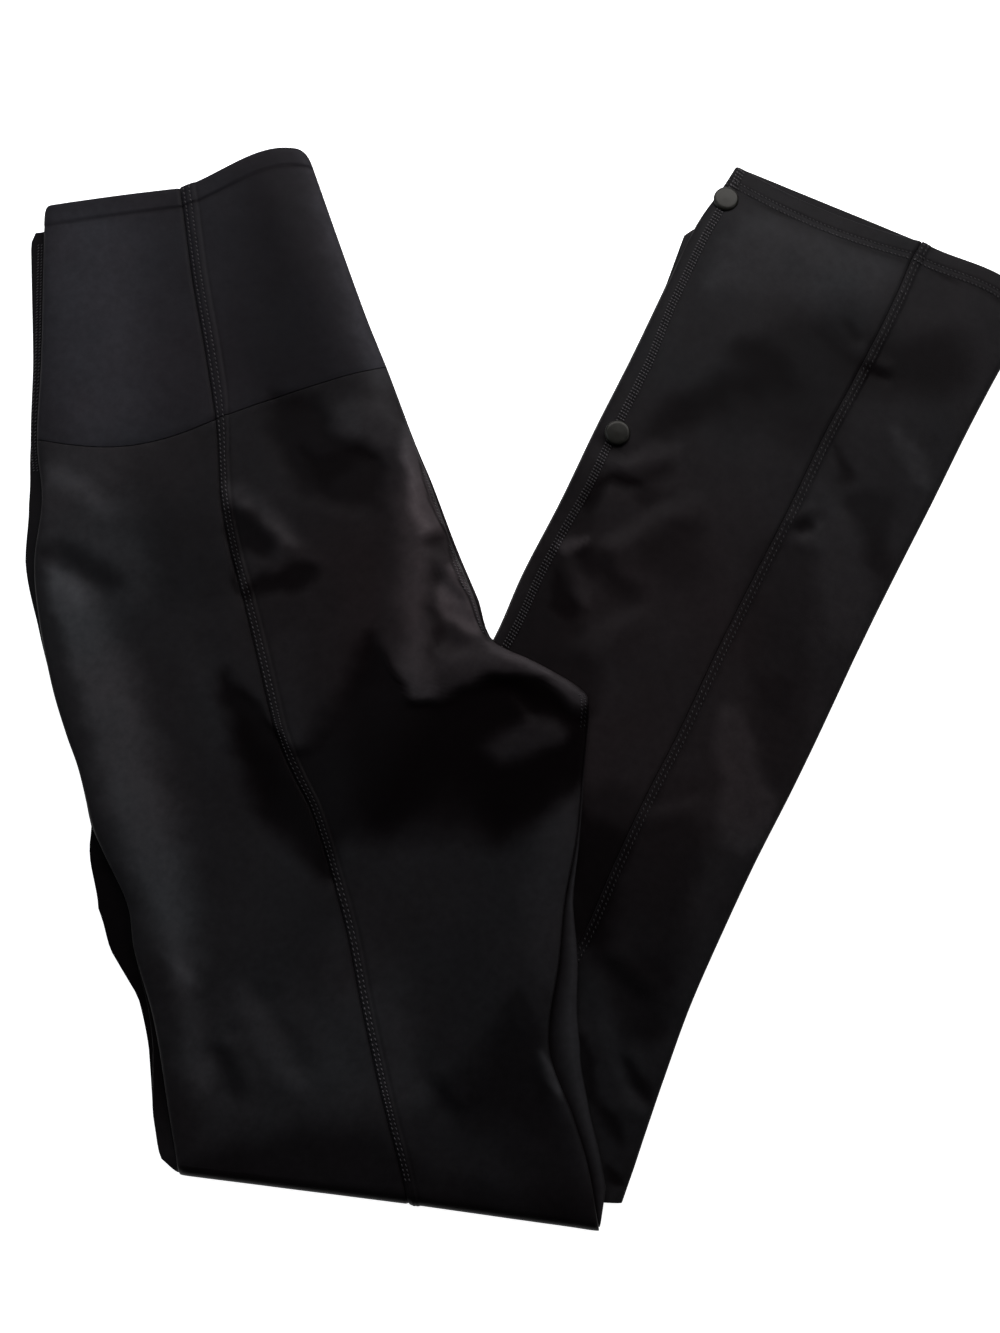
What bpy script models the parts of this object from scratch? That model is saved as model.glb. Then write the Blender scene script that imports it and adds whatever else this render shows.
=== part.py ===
"""Plain high-waisted leggings, folded lengthwise and once more at the knee, laid flat.

The thigh part (waist to knee) lies over the shin part (knee to hem), which comes
out from under it to the upper right. Real size in metres, +Z up, resting on Z = 0.
Tables are in millimetres on the table top, X to the right and Y away.
"""

import math

import bmesh
import bpy
import numpy as np

MM = 0.001

# ---------------------------------------------------------------- driving sizes (mm)
CLOTH_WALL = 1.1            # one ply of the knit, with its loft
WAISTBAND_WALL = 1.6        # the waistband is cut double
SEAM_GAP = 0.3              # clear line between neighbouring pieces
THIGH_STACK = 6.0           # four plies lying on the table
OVERLAP_STACK = 11.4        # eight plies where thigh lies over shin
SHIN_STACK = 5.2            # four plies of the lower leg
STEP_START = 6.0            # the thigh is up on the shin from here ...
STEP_END = 42.0             # ... and down on the table from here
EDGE_ROUND = 5.0            # width of the rounding along a side edge
EDGE_DROP = 1.9             # how far the top ply turns down there
END_ROUND = 3.0
END_DROP = 0.9
FOLD_RADIUS = 6.0           # half width of the roll at the knee
FOLD_TURN = 150.0           # degrees the top ply turns round the knee
WELT_WIDTH = 5.2            # seam allowance felled to the centre side
WELT_HEIGHT = 0.7
FOLD_LIMIT = 2.8            # no fold is deeper or higher than this
ROW_STEP = 15.0             # spacing of the sections along the leg
CAP_RADIUS = 6.5            # press-stud cap
CAP_HEIGHT = 1.5
CAP_LIFT = 0.3
CENTER_X = 14.6             # middle of the footprint, moved to the origin
CENTER_Y = 4.9

# ---------------------------------------------------------------- sections
# One row a section across the leg: its left edge, the mid seam, its right edge.
# Waist edge first, waistband seam at row 4, crotch point at row 12, knee fold last.
# left_x, left_y, seam_x, seam_y, right_x, right_y
THIGH_SECTIONS = (
    (-236, 241, -166, 251, -101, 273),
    (-236, 232, -164, 240, -97, 262),
    (-235, 196, -158, 202, -83, 222),
    (-234, 158, -150, 162, -69, 183),
    (-234, 116, -143, 122, -58, 155),
    (-230, 85, -140, 87, -44, 116),
    (-232, 53, -135, 61, -35, 93),
    (-228, 23, -127, 33, -24, 62),
    (-220, -9, -119, 3, -13, 34),
    (-212, -33, -113, -20, -4, 13),
    (-206, -48, -110, -31, 19, 1),
    (-201, -64, -105, -44, 39, -11),
    (-197, -78, -99, -56, 43, -20),
    (-191, -91, -91, -71, 41, -43),
    (-179, -115, -81, -99, 37, -82),
    (-175, -136, -72, -129, 31, -113),
    (-166, -163, -65, -161, 28, -141),
    (-161, -182, -58, -191, 23, -180),
    (-155, -210, -52, -214, 34, -212),
    (-151, -228, -46, -235, 41, -235),
    (-149, -239, -42, -252, 46, -264),
)

# Hem first, the end tucked into the knee fold last.
# left_x, left_y, seam_x, seam_y, right_x, right_y
SHIN_SECTIONS = (
    (123, 264, 218, 222, 273, 184),
    (115, 251, 212, 212, 267, 172),
    (102, 232, 202, 190, 256, 155),
    (86, 199, 184, 155, 238, 123),
    (68, 161, 164, 119, 218, 85),
    (49, 123, 145, 81, 198, 48),
    (31, 85, 124, 41, 179, 12),
    (12, 48, 106, 6, 161, -24),
    (-3, 14, 88, -31, 143, -59),
    (-25, -22, 71, -63, 124, -94),
    (-45, -58, 55, -96, 107, -128),
    (-67, -93, 40, -129, 91, -162),
    (-87, -127, 21, -160, 78, -195),
    (-109, -161, 2, -189, 68, -222),
    (-126, -194, -19, -221, 63, -236),
    (-141, -232, -42, -247, 57, -252),
)

# How far the plies beneath reach past the top ply.
# section row, left, right
THIGH_REACH = (
    (0.0, 0.0, 0.0),
    (1.14, 0.0, 0.0),
    (1.24, 8.0, 0.0),
    (2.0, 6.5, 0.0),
    (3.0, 5.0, 0.0),
    (4.0, 4.0, 0.5),
    (5.0, 7.5, 1.0),
    (6.0, 5.5, 1.5),
    (7.0, 2.0, 2.0),
    (8.0, 0.5, 2.5),
    (9.2, 0.5, 0.5),
    (12.0, 1.5, 0.6),
    (13.0, 8.0, 0.6),
    (14.0, 15.0, 1.5),
    (15.0, 12.0, 4.0),
    (15.8, 5.0, 8.0),
    (17.0, 6.0, 15.0),
    (18.0, 9.0, 8.0),
    (19.0, 9.0, 6.5),
    (20.0, 6.0, 6.0),
)
SHIN_REACH = (
    (0.0, 0.0, 0.0),
    (2.05, 0.3, 0.4),
    (2.20, 3.4, 0.5),
    (3.0, 0.6, 0.5),
    (15.0, 0.6, 0.5),
)

# ---------------------------------------------------------------- folds
# One row a fold, a soft ridge along a straight line; a trough has a negative height.
# start_x, start_y, end_x, end_y, half_width, height
THIGH_FOLDS = (
    (-230, 59, -194, 46, 6, -1.2),      # crease in from the side edge
    (-226, 70, -193, 58, 6, 0.8),
    (-224, 44, -193, 35, 6, 1.0),
    (-226, 41, -216, -16, 9, 1.2),      # long ridge down the side
    (-216, -16, -174, -89, 10, 1.6),
    (-174, -89, -157, -127, 9, 1.2),
    (-107, 127, -83, 99, 10, -1.5),     # V hollow below the waistband
    (-62, 123, -83, 99, 10, -1.5),
    (-121, 33, -93, 49, 8, -1.5),
    (-50, 116, -45, 59, 10, 2.2),       # upright ridge near the rise
    (-45, 59, -42, -9, 10, 2.4),
    (-63, 17, -49, -16, 9, -2.0),       # large hollow beside the crotch
    (-49, -17, -24, -51, 19, -2.6),
    (-24, -51, 14, -68, 16, -2.4),
    (-136, -11, -120, -48, 10, -1.6),
    (-120, -48, -89, -95, 11, -1.8),
    (-2, 6, 40, -16, 6, 1.3),           # gathers at the crotch point
    (1, -20, 29, -28, 7, -1.7),
    (-6, -37, 25, -42, 8, 1.8),
    (8, -61, 40, -45, 6, -1.4),
    (-95, -115, 10, -113, 27, 1.6),     # smooth swell above the knee
    (7, -152, 0, -182, 10, -1.4),
    (0, -182, -7, -209, 17, -2.0),
    (-109, -159, -77, -211, 9, 1.4),
    (-130, -182, -121, -202, 7, -1.3),
)
SHIN_FOLDS = (
    (137, 225, 177, 201, 15, 1.0),
    (133, 169, 158, 146, 9, -1.1),
    (102, 143, 123, 136, 8, -0.8),
    (202, 174, 231, 148, 11, -1.2),
    (142, 67, 153, 62, 9, -1.0),
    (50, 49, 56, 44, 8, -0.9),
    (22, 31, 28, 28, 8, -0.8),
    (40, 69, 100, 95, 9, 1.1),
    (35, 9, 69, 30, 9, 1.0),
    (48, -160, 67, -202, 9, 1.1),
    (47, -136, 50, -164, 9, -1.1),
)

# press-stud caps on the side seam: name, x, y
SNAP_CAPS = (
    ("snap_cap_hem", 117.0, 244.6),
    ("snap_cap_calf", 59.3, 119.4),
)

UNDER_WAIST_ROWS = (1.14, 1.24)     # the lower leg's waist corner shows between these
WAIST_BOW = (0.5, 6.0)      # the waist edge bows up, most towards the rise
HEM_BOW = (-4.5, 7.5)       # the hem bows in on the side half, out on the other

# name: base colour, roughness, metallic
MATERIALS = {
    "knit_black": ((0.012, 0.011, 0.012), 0.62, 0.0),
    "waistband_black": ((0.017, 0.016, 0.018), 0.58, 0.0),
    "stud_gunmetal": ((0.030, 0.032, 0.030), 0.32, 0.9),
}


# ---------------------------------------------------------------- curves and heights
def smooth_row(table, row):
    """Values of every column at a row number between the rows, on a smooth curve."""
    rows = np.asarray(table, float)
    last = len(rows) - 1
    row = min(max(row, 0.0), float(last))
    index = min(int(row), last - 1)
    f = row - index
    before = rows[max(index - 1, 0)]
    start = rows[index]
    end = rows[index + 1]
    after = rows[min(index + 2, last)]
    cubic = 3.0 * start - before - 3.0 * end + after
    square = 2.0 * before - 5.0 * start + 4.0 * end - after
    return 0.5 * (2.0 * start + (end - before) * f + square * f * f + cubic * f ** 3)


def reach_at(table, row):
    """How far the lower plies reach past the top ply, left and right."""
    rows = np.asarray(table, float)
    left = np.interp(row, rows[:, 0], rows[:, 1])
    right = np.interp(row, rows[:, 0], rows[:, 2])
    return left, right


def smooth_step(value):
    t = np.clip(value, 0.0, 1.0)
    return t * t * (3.0 - 2.0 * t)


def distance_to_line(x, y, x0, y0, x1, y1):
    """Distance from points to one straight piece, and how far along it they are."""
    dx, dy = x1 - x0, y1 - y0
    length2 = dx * dx + dy * dy
    t = np.clip(((x - x0) * dx + (y - y0) * dy) / length2, 0.0, 1.0)
    return np.hypot(x - x0 - t * dx, y - y0 - t * dy), t


def fold_relief(folds, x, y):
    """Soft ridges and troughs of a table of folds, kept within FOLD_LIMIT."""
    total = np.zeros_like(x)
    for x0, y0, x1, y1, half_width, height in folds:
        distance, _ = distance_to_line(x, y, x0, y0, x1, y1)
        total += height * np.exp(-(distance / half_width) ** 2)
    return FOLD_LIMIT * np.tanh(total / FOLD_LIMIT)


def signed_distance(x, y, line):
    """Distance from a line of points: positive to its right, walking along it."""
    best = np.full(np.shape(x), 1e9)
    signed = np.full(np.shape(x), 1e9)
    for (x0, y0), (x1, y1) in zip(line[:-1], line[1:]):
        distance, _ = distance_to_line(x, y, x0, y0, x1, y1)
        cross = (x1 - x0) * (y - y0) - (y1 - y0) * (x - x0)
        nearer = distance < best
        best = np.where(nearer, distance, best)
        signed = np.where(nearer, np.where(cross < 0.0, distance, -distance), signed)
    return signed


def outside_shin(x, y):
    """Distance left of the shin part's side edge; negative over the shin part."""
    return signed_distance(x, y, [(row[0], row[1]) for row in SHIN_SECTIONS])


def outside_thigh(x, y):
    """Distance right of the plies beneath the thigh part, from its crotch to the knee."""
    line = []
    for row in np.arange(7.0, 20.1, 0.5):
        values = smooth_row(THIGH_SECTIONS, row)
        outward = (values[4:6] - values[2:4]) / np.hypot(*(values[4:6] - values[2:4]))
        line.append(tuple(values[4:6] + outward * reach_at(THIGH_REACH, row)[1]))
    return -signed_distance(x, y, line)


def edge_rounding(distance, width, drop):
    t = np.clip(1.0 - distance / width, 0.0, 1.0)
    return drop * (1.0 - np.sqrt(np.maximum(1.0 - t * t, 0.0)))


def thigh_level(x, y):
    """Top of the thigh part before its folds: low on the table, high on the shin."""
    rise = smooth_step((STEP_END - outside_shin(x, y)) / (STEP_END - STEP_START))
    return THIGH_STACK + (OVERLAP_STACK - THIGH_STACK) * rise


def shin_level(x, y):
    return np.full_like(x, SHIN_STACK)


def shin_bare(x, y):
    """One where the shin part shows, nought where the thigh part presses it flat."""
    return smooth_step((outside_thigh(x, y) - 0.5) / 8.0)


def shin_relief(x, y):
    return fold_relief(SHIN_FOLDS, x, y) * shin_bare(x, y)


def thigh_bare(x, y):
    return 1.0


def thigh_relief(x, y):
    return fold_relief(THIGH_FOLDS, x, y)


def thigh_floor(x, y):
    """Underside of the thigh part: on the table, or just clear of the shin part."""
    over = np.clip((20.0 - outside_shin(x, y)) / 12.0, 0.0, 1.0)
    return over * (SHIN_STACK + 0.35)


def table_top(x, y):
    return np.zeros_like(x)


# ---------------------------------------------------------------- the two leg parts
class LegPart:
    """One folded length of leg: its sections, folds and levels."""

    def __init__(self, sections, reach, level, relief, bare, floor, bows):
        self.sections = sections
        self.reach = reach
        self.level = level
        self.relief = relief
        self.bare = bare
        self.floor = floor
        self.bows = bows

    def plan(self, row, side, share):
        """A point on the table: side 0 is left edge to seam, 1 is seam to right edge."""
        values = smooth_row(self.sections, row)
        start = values[0:2] if side == 0 else values[2:4]
        end = values[2:4] if side == 0 else values[4:6]
        bow = self.bows[side] * max(0.0, 1.0 - row / 3.0)
        if side == 1:
            swell = 6.75 * share * share * (1.0 - share)
        else:
            swell = 4.0 * share * (1.0 - share)
        across = (end - start) / np.hypot(*(end - start))
        along = np.array((-across[1], across[0]))
        return start + (end - start) * share + along * bow * swell

    def widths(self, row):
        values = smooth_row(self.sections, row)
        left = float(np.hypot(values[2] - values[0], values[3] - values[1]))
        right = float(np.hypot(values[4] - values[2], values[5] - values[3]))
        return left, right

    def rows(self, first, last, step):
        """Row numbers about one step apart, measured along the leg."""
        fine = np.linspace(first, last, 400)
        values = np.array([smooth_row(self.sections, row) for row in fine])
        lengths = np.zeros(len(fine) - 1)
        for column in (0, 2, 4):
            change = np.diff(values[:, column:column + 2], axis=0)
            lengths += np.hypot(change[:, 0], change[:, 1]) / 3.0
        travelled = np.concatenate(([0.0], np.cumsum(lengths)))
        count = max(1, int(round(travelled[-1] / step)))
        return list(np.interp(np.linspace(0.0, travelled[-1], count + 1), travelled, fine))


def column_shares(width, side, count):
    """Shares across one panel: close together at the edge and at the seam."""
    edge = [0.0, 1.4, 4.5]
    if side == 0:
        marks = edge + list(np.linspace(4.5, width - 0.5 * SEAM_GAP, count + 1)[1:])
        return [mark / width for mark in marks]
    seam = [0.5 * SEAM_GAP, 1.0, WELT_WIDTH - 0.7, WELT_WIDTH + 0.8]
    middle = list(np.linspace(seam[-1], width - 4.5, count + 1)[1:])
    marks = seam + middle + [width - 1.4, width]
    return [mark / width for mark in marks]


def panel_grid(part, rows, counts):
    """Plan points and tops of a length of leg, as arrays over rows and columns."""
    points = []
    edge_far = []
    welt = []
    for row in rows:
        widths = part.widths(row)
        line, far, bump = [], [], []
        for side in (0, 1):
            for share in column_shares(widths[side], side, counts[side]):
                line.append(part.plan(row, side, share))
                along = share * widths[side]
                far.append(along if side == 0 else widths[1] - along)
                raised = side == 1 and 0.6 < along < WELT_WIDTH
                bump.append(WELT_HEIGHT * part.bare(*line[-1]) if raised else 0.0)
        points.append(line)
        edge_far.append(far)
        welt.append(bump)
    plan = np.array(points)
    x, y = plan[:, :, 0], plan[:, :, 1]
    top = part.level(x, y) + part.relief(x, y)
    top -= edge_rounding(np.array(edge_far), EDGE_ROUND, EDGE_DROP)
    start = np.array([[part.plan(0.0, side, share) for side in (0, 1)
                       for share in column_shares(part.widths(0.0)[side], side, counts[side])]])
    from_end = np.hypot(x - start[:, :, 0], y - start[:, :, 1])
    top -= edge_rounding(from_end, END_ROUND, END_DROP)
    return plan, top, np.array(welt)


# ---------------------------------------------------------------- mesh building
def material(name):
    """The named material, made once from the table."""
    existing = bpy.data.materials.get(name)
    if existing:
        return existing
    colour, roughness, metallic = MATERIALS[name]
    made = bpy.data.materials.new(name)
    made.use_nodes = True
    shader = made.node_tree.nodes["Principled BSDF"]
    shader.inputs["Base Color"].default_value = (*colour, 1.0)
    shader.inputs["Roughness"].default_value = roughness
    shader.inputs["Metallic"].default_value = metallic
    made.diffuse_color = (*colour, 1.0)
    return made


def add_object(name, vertices, faces, material_name, smooth_angle=40.0):
    """One closed body facing out, in metres about the middle of the footprint."""
    mesh = bpy.data.meshes.new(name)
    shift = np.array((CENTER_X, CENTER_Y, 0.0))
    placed = (np.asarray(vertices, float) - shift) * MM
    mesh.from_pydata([tuple(point) for point in placed], [], [tuple(face) for face in faces])
    body = bmesh.new()
    body.from_mesh(mesh)
    bmesh.ops.triangulate(body, faces=body.faces[:])
    bmesh.ops.recalc_face_normals(body, faces=body.faces[:])
    if body.calc_volume(signed=True) < 0.0:
        bmesh.ops.reverse_faces(body, faces=body.faces[:])
    body.to_mesh(mesh)
    body.free()
    mesh.materials.append(material(material_name))
    made = bpy.data.objects.new(name, mesh)
    bpy.context.scene.collection.objects.link(made)
    mesh.shade_smooth()
    mesh.set_sharp_from_angle(angle=math.radians(smooth_angle))
    return made


def slab(top, bottom):
    """Vertices and faces of a wall between two grids of points of the same shape."""
    count_rows, count_columns = top.shape[:2]
    vertices = list(top.reshape(-1, 3)) + list(bottom.reshape(-1, 3))
    lower = count_rows * count_columns

    def at(row, column, offset=0):
        return offset + row * count_columns + column

    faces = []
    for row in range(count_rows - 1):
        for column in range(count_columns - 1):
            a, b = at(row, column), at(row, column + 1)
            c, d = at(row + 1, column + 1), at(row + 1, column)
            faces.append((a, b, c))
            faces.append((a, c, d))
            faces.append((a + lower, c + lower, b + lower))
            faces.append((a + lower, d + lower, c + lower))
    for row in range(count_rows - 1):
        for column in (0, count_columns - 1):
            a, b = at(row, column), at(row + 1, column)
            faces.append((a, b, b + lower, a + lower))
    for column in range(count_columns - 1):
        for row in (0, count_rows - 1):
            a, b = at(row, column), at(row, column + 1)
            faces.append((a, b, b + lower, a + lower))
    return vertices, faces


def with_height(plan, height):
    return np.dstack((plan, height))


# ---------------------------------------------------------------- the knee roll
def knee_roll(part, columns, last_plan, last_top, wall):
    """Sections that carry the top ply round the knee and back under itself."""
    outer, inner = [], []
    fold = np.array([part.plan(20.0, side, share) for side, share in columns])
    inward = last_plan - fold
    inward /= np.hypot(inward[:, 0], inward[:, 1])[:, None]
    half = 0.5 * last_top[:, None]
    for turn in (28.0, 52.0, 74.0, 96.0, 122.0, FOLD_TURN):
        sine, cosine = math.sin(math.radians(turn)), math.cos(math.radians(turn))
        for wall_off, store in ((0.0, outer), (wall, inner)):
            reach = FOLD_RADIUS - (FOLD_RADIUS - wall_off) * sine
            height = half + (half - wall_off) * cosine
            store.append(np.hstack((fold + inward * reach, height)))
    return np.array(outer), np.array(inner)


# ---------------------------------------------------------------- building the parts
def build_panels(part, rows, counts, names, wall, material_name, roll, start_gap, end_gap):
    """The two panels of a length of leg, either side of the mid seam."""
    rows = list(rows)
    plan, top, welt = panel_grid(part, rows, counts)
    if start_gap:
        plan[0] += (plan[1] - plan[0]) * (start_gap / np.hypot(*(plan[1, 0] - plan[0, 0])))
    if end_gap:
        plan[-1] += (plan[-2] - plan[-1]) * (end_gap / np.hypot(*(plan[-2, 0] - plan[-1, 0])))
    split = 3 + counts[0]
    columns = []
    for side in (0, 1):
        for share in column_shares(part.widths(20.0)[side], side, counts[side]):
            columns.append((side, share))
    for index, (first, last) in enumerate(((0, split), (split, plan.shape[1]))):
        upper = with_height(plan[:, first:last], (top + welt)[:, first:last])
        lower = with_height(plan[:, first:last], top[:, first:last] - wall)
        if roll:
            outer, inner = knee_roll(part, columns[first:last], plan[-1, first:last],
                                     top[-1, first:last], wall)
            upper = np.concatenate((upper, outer))
            lower = np.concatenate((lower, inner))
        vertices, faces = slab(upper, lower)
        add_object(names[index], vertices, faces, material_name)
    return plan, top


def outward_directions(plan):
    """Unit vectors pointing out of the footprint, for every point round a grid's edge."""
    rows, columns = plan.shape[:2]
    loop = [(0, c) for c in range(columns)]
    loop += [(r, columns - 1) for r in range(1, rows)]
    loop += [(rows - 1, c) for c in range(columns - 2, -1, -1)]
    loop += [(r, 0) for r in range(rows - 2, 0, -1)]
    directions = []
    for r, c in loop:
        total = np.zeros(2)
        if c == 0:
            total += unit(plan[r, 0] - plan[r, 3])
        if c == columns - 1:
            total += unit(plan[r, -1] - plan[r, -4])
        if r == 0:
            total += unit(plan[0, c] - plan[1, c])
        if r == rows - 1:
            total += unit(plan[-1, c] - plan[-2, c])
        directions.append(unit(total))
    return loop, np.array(directions)


def unit(vector):
    return vector / max(np.hypot(vector[0], vector[1]), 1e-9)


def build_under(part, rows, plan, top, share_left, share_right, end_inset):
    """The hidden plies as one rounded solid: two lips, with a groove between, all round."""
    rows = list(rows)
    loop, outward = outward_directions(plan)
    columns = plan.shape[1]
    last_row = len(rows) - 1
    vertices = [np.array((*plan[r, c], top[r, c])) for r in range(len(rows)) for c in range(columns)]
    faces = []
    for r in range(last_row):
        for c in range(columns - 1):
            a, b = r * columns + c, r * columns + c + 1
            d, e = (r + 1) * columns + c, (r + 1) * columns + c + 1
            faces.append((a, b, e))
            faces.append((a, e, d))
    previous = [r * columns + c for r, c in loop]
    reach = []
    sideways = []
    for r, c in loop:
        left, right = reach_at(part.reach, rows[r])
        upper_lip, lower_lip = (0.0, 0.5) if r == last_row else (1.0, 1.0)
        if c == 0:
            reach.append((left * share_left * upper_lip, left * lower_lip))
            sideways.append(unit(plan[r, 0] - plan[r, 3]))
        elif c == columns - 1:
            reach.append((right * share_right * upper_lip, right * lower_lip))
            sideways.append(unit(plan[r, -1] - plan[r, -4]))
        else:
            reach.append((0.0, 0.0))
            sideways.append(np.zeros(2))
    sideways = np.array(sideways)
    edge = np.array([plan[r, c] for r, c in loop])
    edge_top = np.array([top[r, c] for r, c in loop])
    reach = np.array(reach)
    inset = np.array([end_inset if r == 0 else 0.0 for r, c in loop])
    tucked = np.array([2.0 if part.floor is thigh_floor and r == last_row else 0.0
                       for r, c in loop])
    # offset from the top ply's edge by lip, extra outward offset, share of the height
    profile = (
        (0, -0.2, 0.99),
        (0, 0.5, 0.78),
        (0, -1.5, 0.56),
        (1, -1.5 - 0.001, 0.48),
        (1, 0.5, 0.26),
        (1, -0.5, 0.0),
    )
    for lip, offset, share in profile:
        shift = offset - inset * lip - tucked
        place = edge + outward * shift[:, None] + sideways * reach[:, lip][:, None]
        base = part.floor(place[:, 0], place[:, 1])
        height = base + (edge_top - base) * share
        start = len(vertices)
        vertices += [np.array((*place[k], height[k])) for k in range(len(loop))]
        ring = list(range(start, start + len(loop)))
        for k in range(len(loop)):
            n = (k + 1) % len(loop)
            faces.append((previous[k], previous[n], ring[n], ring[k]))
        previous = ring
    return vertices, faces, previous, loop


def close_flat(vertices, faces, ring):
    """Close the underside with one flat face."""
    faces.append(tuple(reversed(ring)))


def close_stepped(part, vertices, faces, ring, loop, plan):
    """Close the underside with a flat, a short slope and a flat, following the shin."""
    rows, columns = plan.shape[:2]
    place_of = {spot: ring[k] for k, spot in enumerate(loop)}
    inner = {}
    marks = (20.0, 8.0)
    shares = np.linspace(0.0, 1.0, 121)
    for r in range(rows):
        first = np.array(vertices[place_of[(r, 0)]])[:2]
        last = np.array(vertices[place_of[(r, columns - 1)]])[:2]
        line = first + (last - first) * shares[:, None]
        away = outside_shin(line[:, 0], line[:, 1])
        found = []
        for mark in marks:
            inside = np.nonzero(away <= mark)[0]
            found.append(shares[inside[0]] if len(inside) else 1.0)
        low = min(max(found[0], 0.04), 0.92)
        high = min(max(found[1], low + 0.04), 0.96)
        for k, share in enumerate((low, high)):
            spot = first + (last - first) * share
            height = float(part.floor(np.array([spot[0]]), np.array([spot[1]]))[0])
            vertices.append(np.array((spot[0], spot[1], height)))
            inner[(r, k)] = len(vertices) - 1
    for r in range(rows - 1):
        left0, left1 = place_of[(r, 0)], place_of[(r + 1, 0)]
        right0, right1 = place_of[(r, columns - 1)], place_of[(r + 1, columns - 1)]
        a0, a1 = inner[(r, 0)], inner[(r + 1, 0)]
        b0, b1 = inner[(r, 1)], inner[(r + 1, 1)]
        faces.append((left0, left1, a1, a0))
        faces.append((a0, a1, b1, b0))
        faces.append((b0, b1, right1, right0))
    for r in (0, rows - 1):
        row_ring = [place_of[(r, c)] for c in range(columns)]
        chain = [inner[(r, 0)], inner[(r, 1)]]
        middle = columns // 2
        for c in range(columns - 1):
            anchor = chain[0] if c < middle else chain[1]
            faces.append((row_ring[c], row_ring[c + 1], anchor))
        faces.append((row_ring[middle], chain[1], chain[0]))


def top_at(part, x, y):
    """Top of a leg part at one spot, for what sits on it."""
    spot_x, spot_y = np.array([x]), np.array([y])
    return float((part.level(spot_x, spot_y) + part.relief(spot_x, spot_y))[0])


def build_cap(name, part, x, y):
    """A low domed press-stud cap with a rolled rim."""
    base = top_at(part, x, y) + CAP_LIFT
    profile = (
        (0.86, 0.0), (0.97, 0.18), (1.0, 0.42), (0.97, 0.66),
        (0.88, 0.82), (0.72, 0.90), (0.40, 0.97),
    )
    segments = 28
    vertices, faces = [], []
    for radius, height in profile:
        for k in range(segments):
            angle = 2.0 * math.pi * k / segments
            vertices.append((x + CAP_RADIUS * radius * math.cos(angle),
                             y + CAP_RADIUS * radius * math.sin(angle),
                             base + CAP_HEIGHT * height))
    for level in range(len(profile) - 1):
        for k in range(segments):
            n = (k + 1) % segments
            a = level * segments
            faces.append((a + k, a + n, a + segments + n, a + segments + k))
    faces.append(tuple(range(segments - 1, -1, -1)))
    top = len(vertices)
    vertices.append((x, y, base + CAP_HEIGHT))
    ring = (len(profile) - 1) * segments
    for k in range(segments):
        faces.append((ring + k, ring + (k + 1) % segments, top))
    add_object(name, vertices, faces, "stud_gunmetal")


def main():
    for thing in list(bpy.data.objects):
        bpy.data.objects.remove(thing, do_unlink=True)

    thigh = LegPart(THIGH_SECTIONS, THIGH_REACH, thigh_level, thigh_relief, thigh_bare,
                    thigh_floor, WAIST_BOW)
    shin = LegPart(SHIN_SECTIONS, SHIN_REACH, shin_level, shin_relief, shin_bare,
                   table_top, HEM_BOW)

    # thigh part: waistband, leg panels turned round the knee, plies beneath
    thigh_counts = (5, 9)
    band_rows = sorted(thigh.rows(0.0, 4.0, ROW_STEP) + list(UNDER_WAIST_ROWS))
    leg_rows = thigh.rows(4.0, 19.42, ROW_STEP)
    half = 0.5 * SEAM_GAP
    build_panels(thigh, band_rows, thigh_counts, ("waistband_side", "waistband_center"),
                 WAISTBAND_WALL, "waistband_black", False, 0.0, half)
    build_panels(thigh, leg_rows, thigh_counts, ("thigh_side", "thigh_center"),
                 CLOTH_WALL, "knit_black", True, half, 0.0)

    under_rows = band_rows[:-1] + leg_rows
    plan, top, _ = panel_grid(thigh, under_rows, thigh_counts)
    deeper = np.where(np.array(under_rows) <= 4.6, WAISTBAND_WALL, CLOTH_WALL)
    plan[0] += (plan[1] - plan[0]) * 0.05
    vertices, faces, ring, loop = build_under(
        thigh, under_rows, plan, top - deeper[:, None] - 0.32, 0.35, 0.85, 12.0)
    close_stepped(thigh, vertices, faces, ring, loop, plan)
    add_object("thigh_under", vertices, faces, "knit_black", 50.0)

    # shin part
    shin_counts = (6, 4)
    shin_rows = shin.rows(0.0, 15.0, ROW_STEP)
    plan, top = build_panels(shin, shin_rows, shin_counts, ("shin_side", "shin_center"),
                             CLOTH_WALL, "knit_black", False, 0.0, 0.0)
    vertices, faces, ring, loop = build_under(
        shin, shin_rows, plan, top - CLOTH_WALL - 0.32, 0.8, 0.8, 0.0)
    close_flat(vertices, faces, ring)
    add_object("shin_under", vertices, faces, "knit_black", 50.0)

    for name, x, y in SNAP_CAPS:
        build_cap(name, shin, x, y)


main()
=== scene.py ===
"""The dressed leggings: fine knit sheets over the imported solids, seams, stitches, studs and light.

Tables are in millimetres on the table top, X to the right and Y away, as for the solids.
The thigh part (waist to knee) lies over the shin part (knee to hem).
"""
import math

import bpy
import numpy as np
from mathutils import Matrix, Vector, noise


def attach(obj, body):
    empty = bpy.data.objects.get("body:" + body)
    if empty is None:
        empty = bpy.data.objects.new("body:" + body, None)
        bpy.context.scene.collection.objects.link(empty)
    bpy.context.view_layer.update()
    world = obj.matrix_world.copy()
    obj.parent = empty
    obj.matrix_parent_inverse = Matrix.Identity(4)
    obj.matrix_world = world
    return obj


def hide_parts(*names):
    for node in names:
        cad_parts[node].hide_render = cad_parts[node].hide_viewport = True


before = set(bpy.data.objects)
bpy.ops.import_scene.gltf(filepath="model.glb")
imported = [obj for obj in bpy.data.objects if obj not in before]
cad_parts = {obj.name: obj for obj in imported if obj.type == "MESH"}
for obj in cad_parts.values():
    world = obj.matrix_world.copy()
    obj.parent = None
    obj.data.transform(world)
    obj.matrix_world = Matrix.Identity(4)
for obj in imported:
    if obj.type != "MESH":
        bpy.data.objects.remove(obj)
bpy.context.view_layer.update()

MM = 0.001

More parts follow.
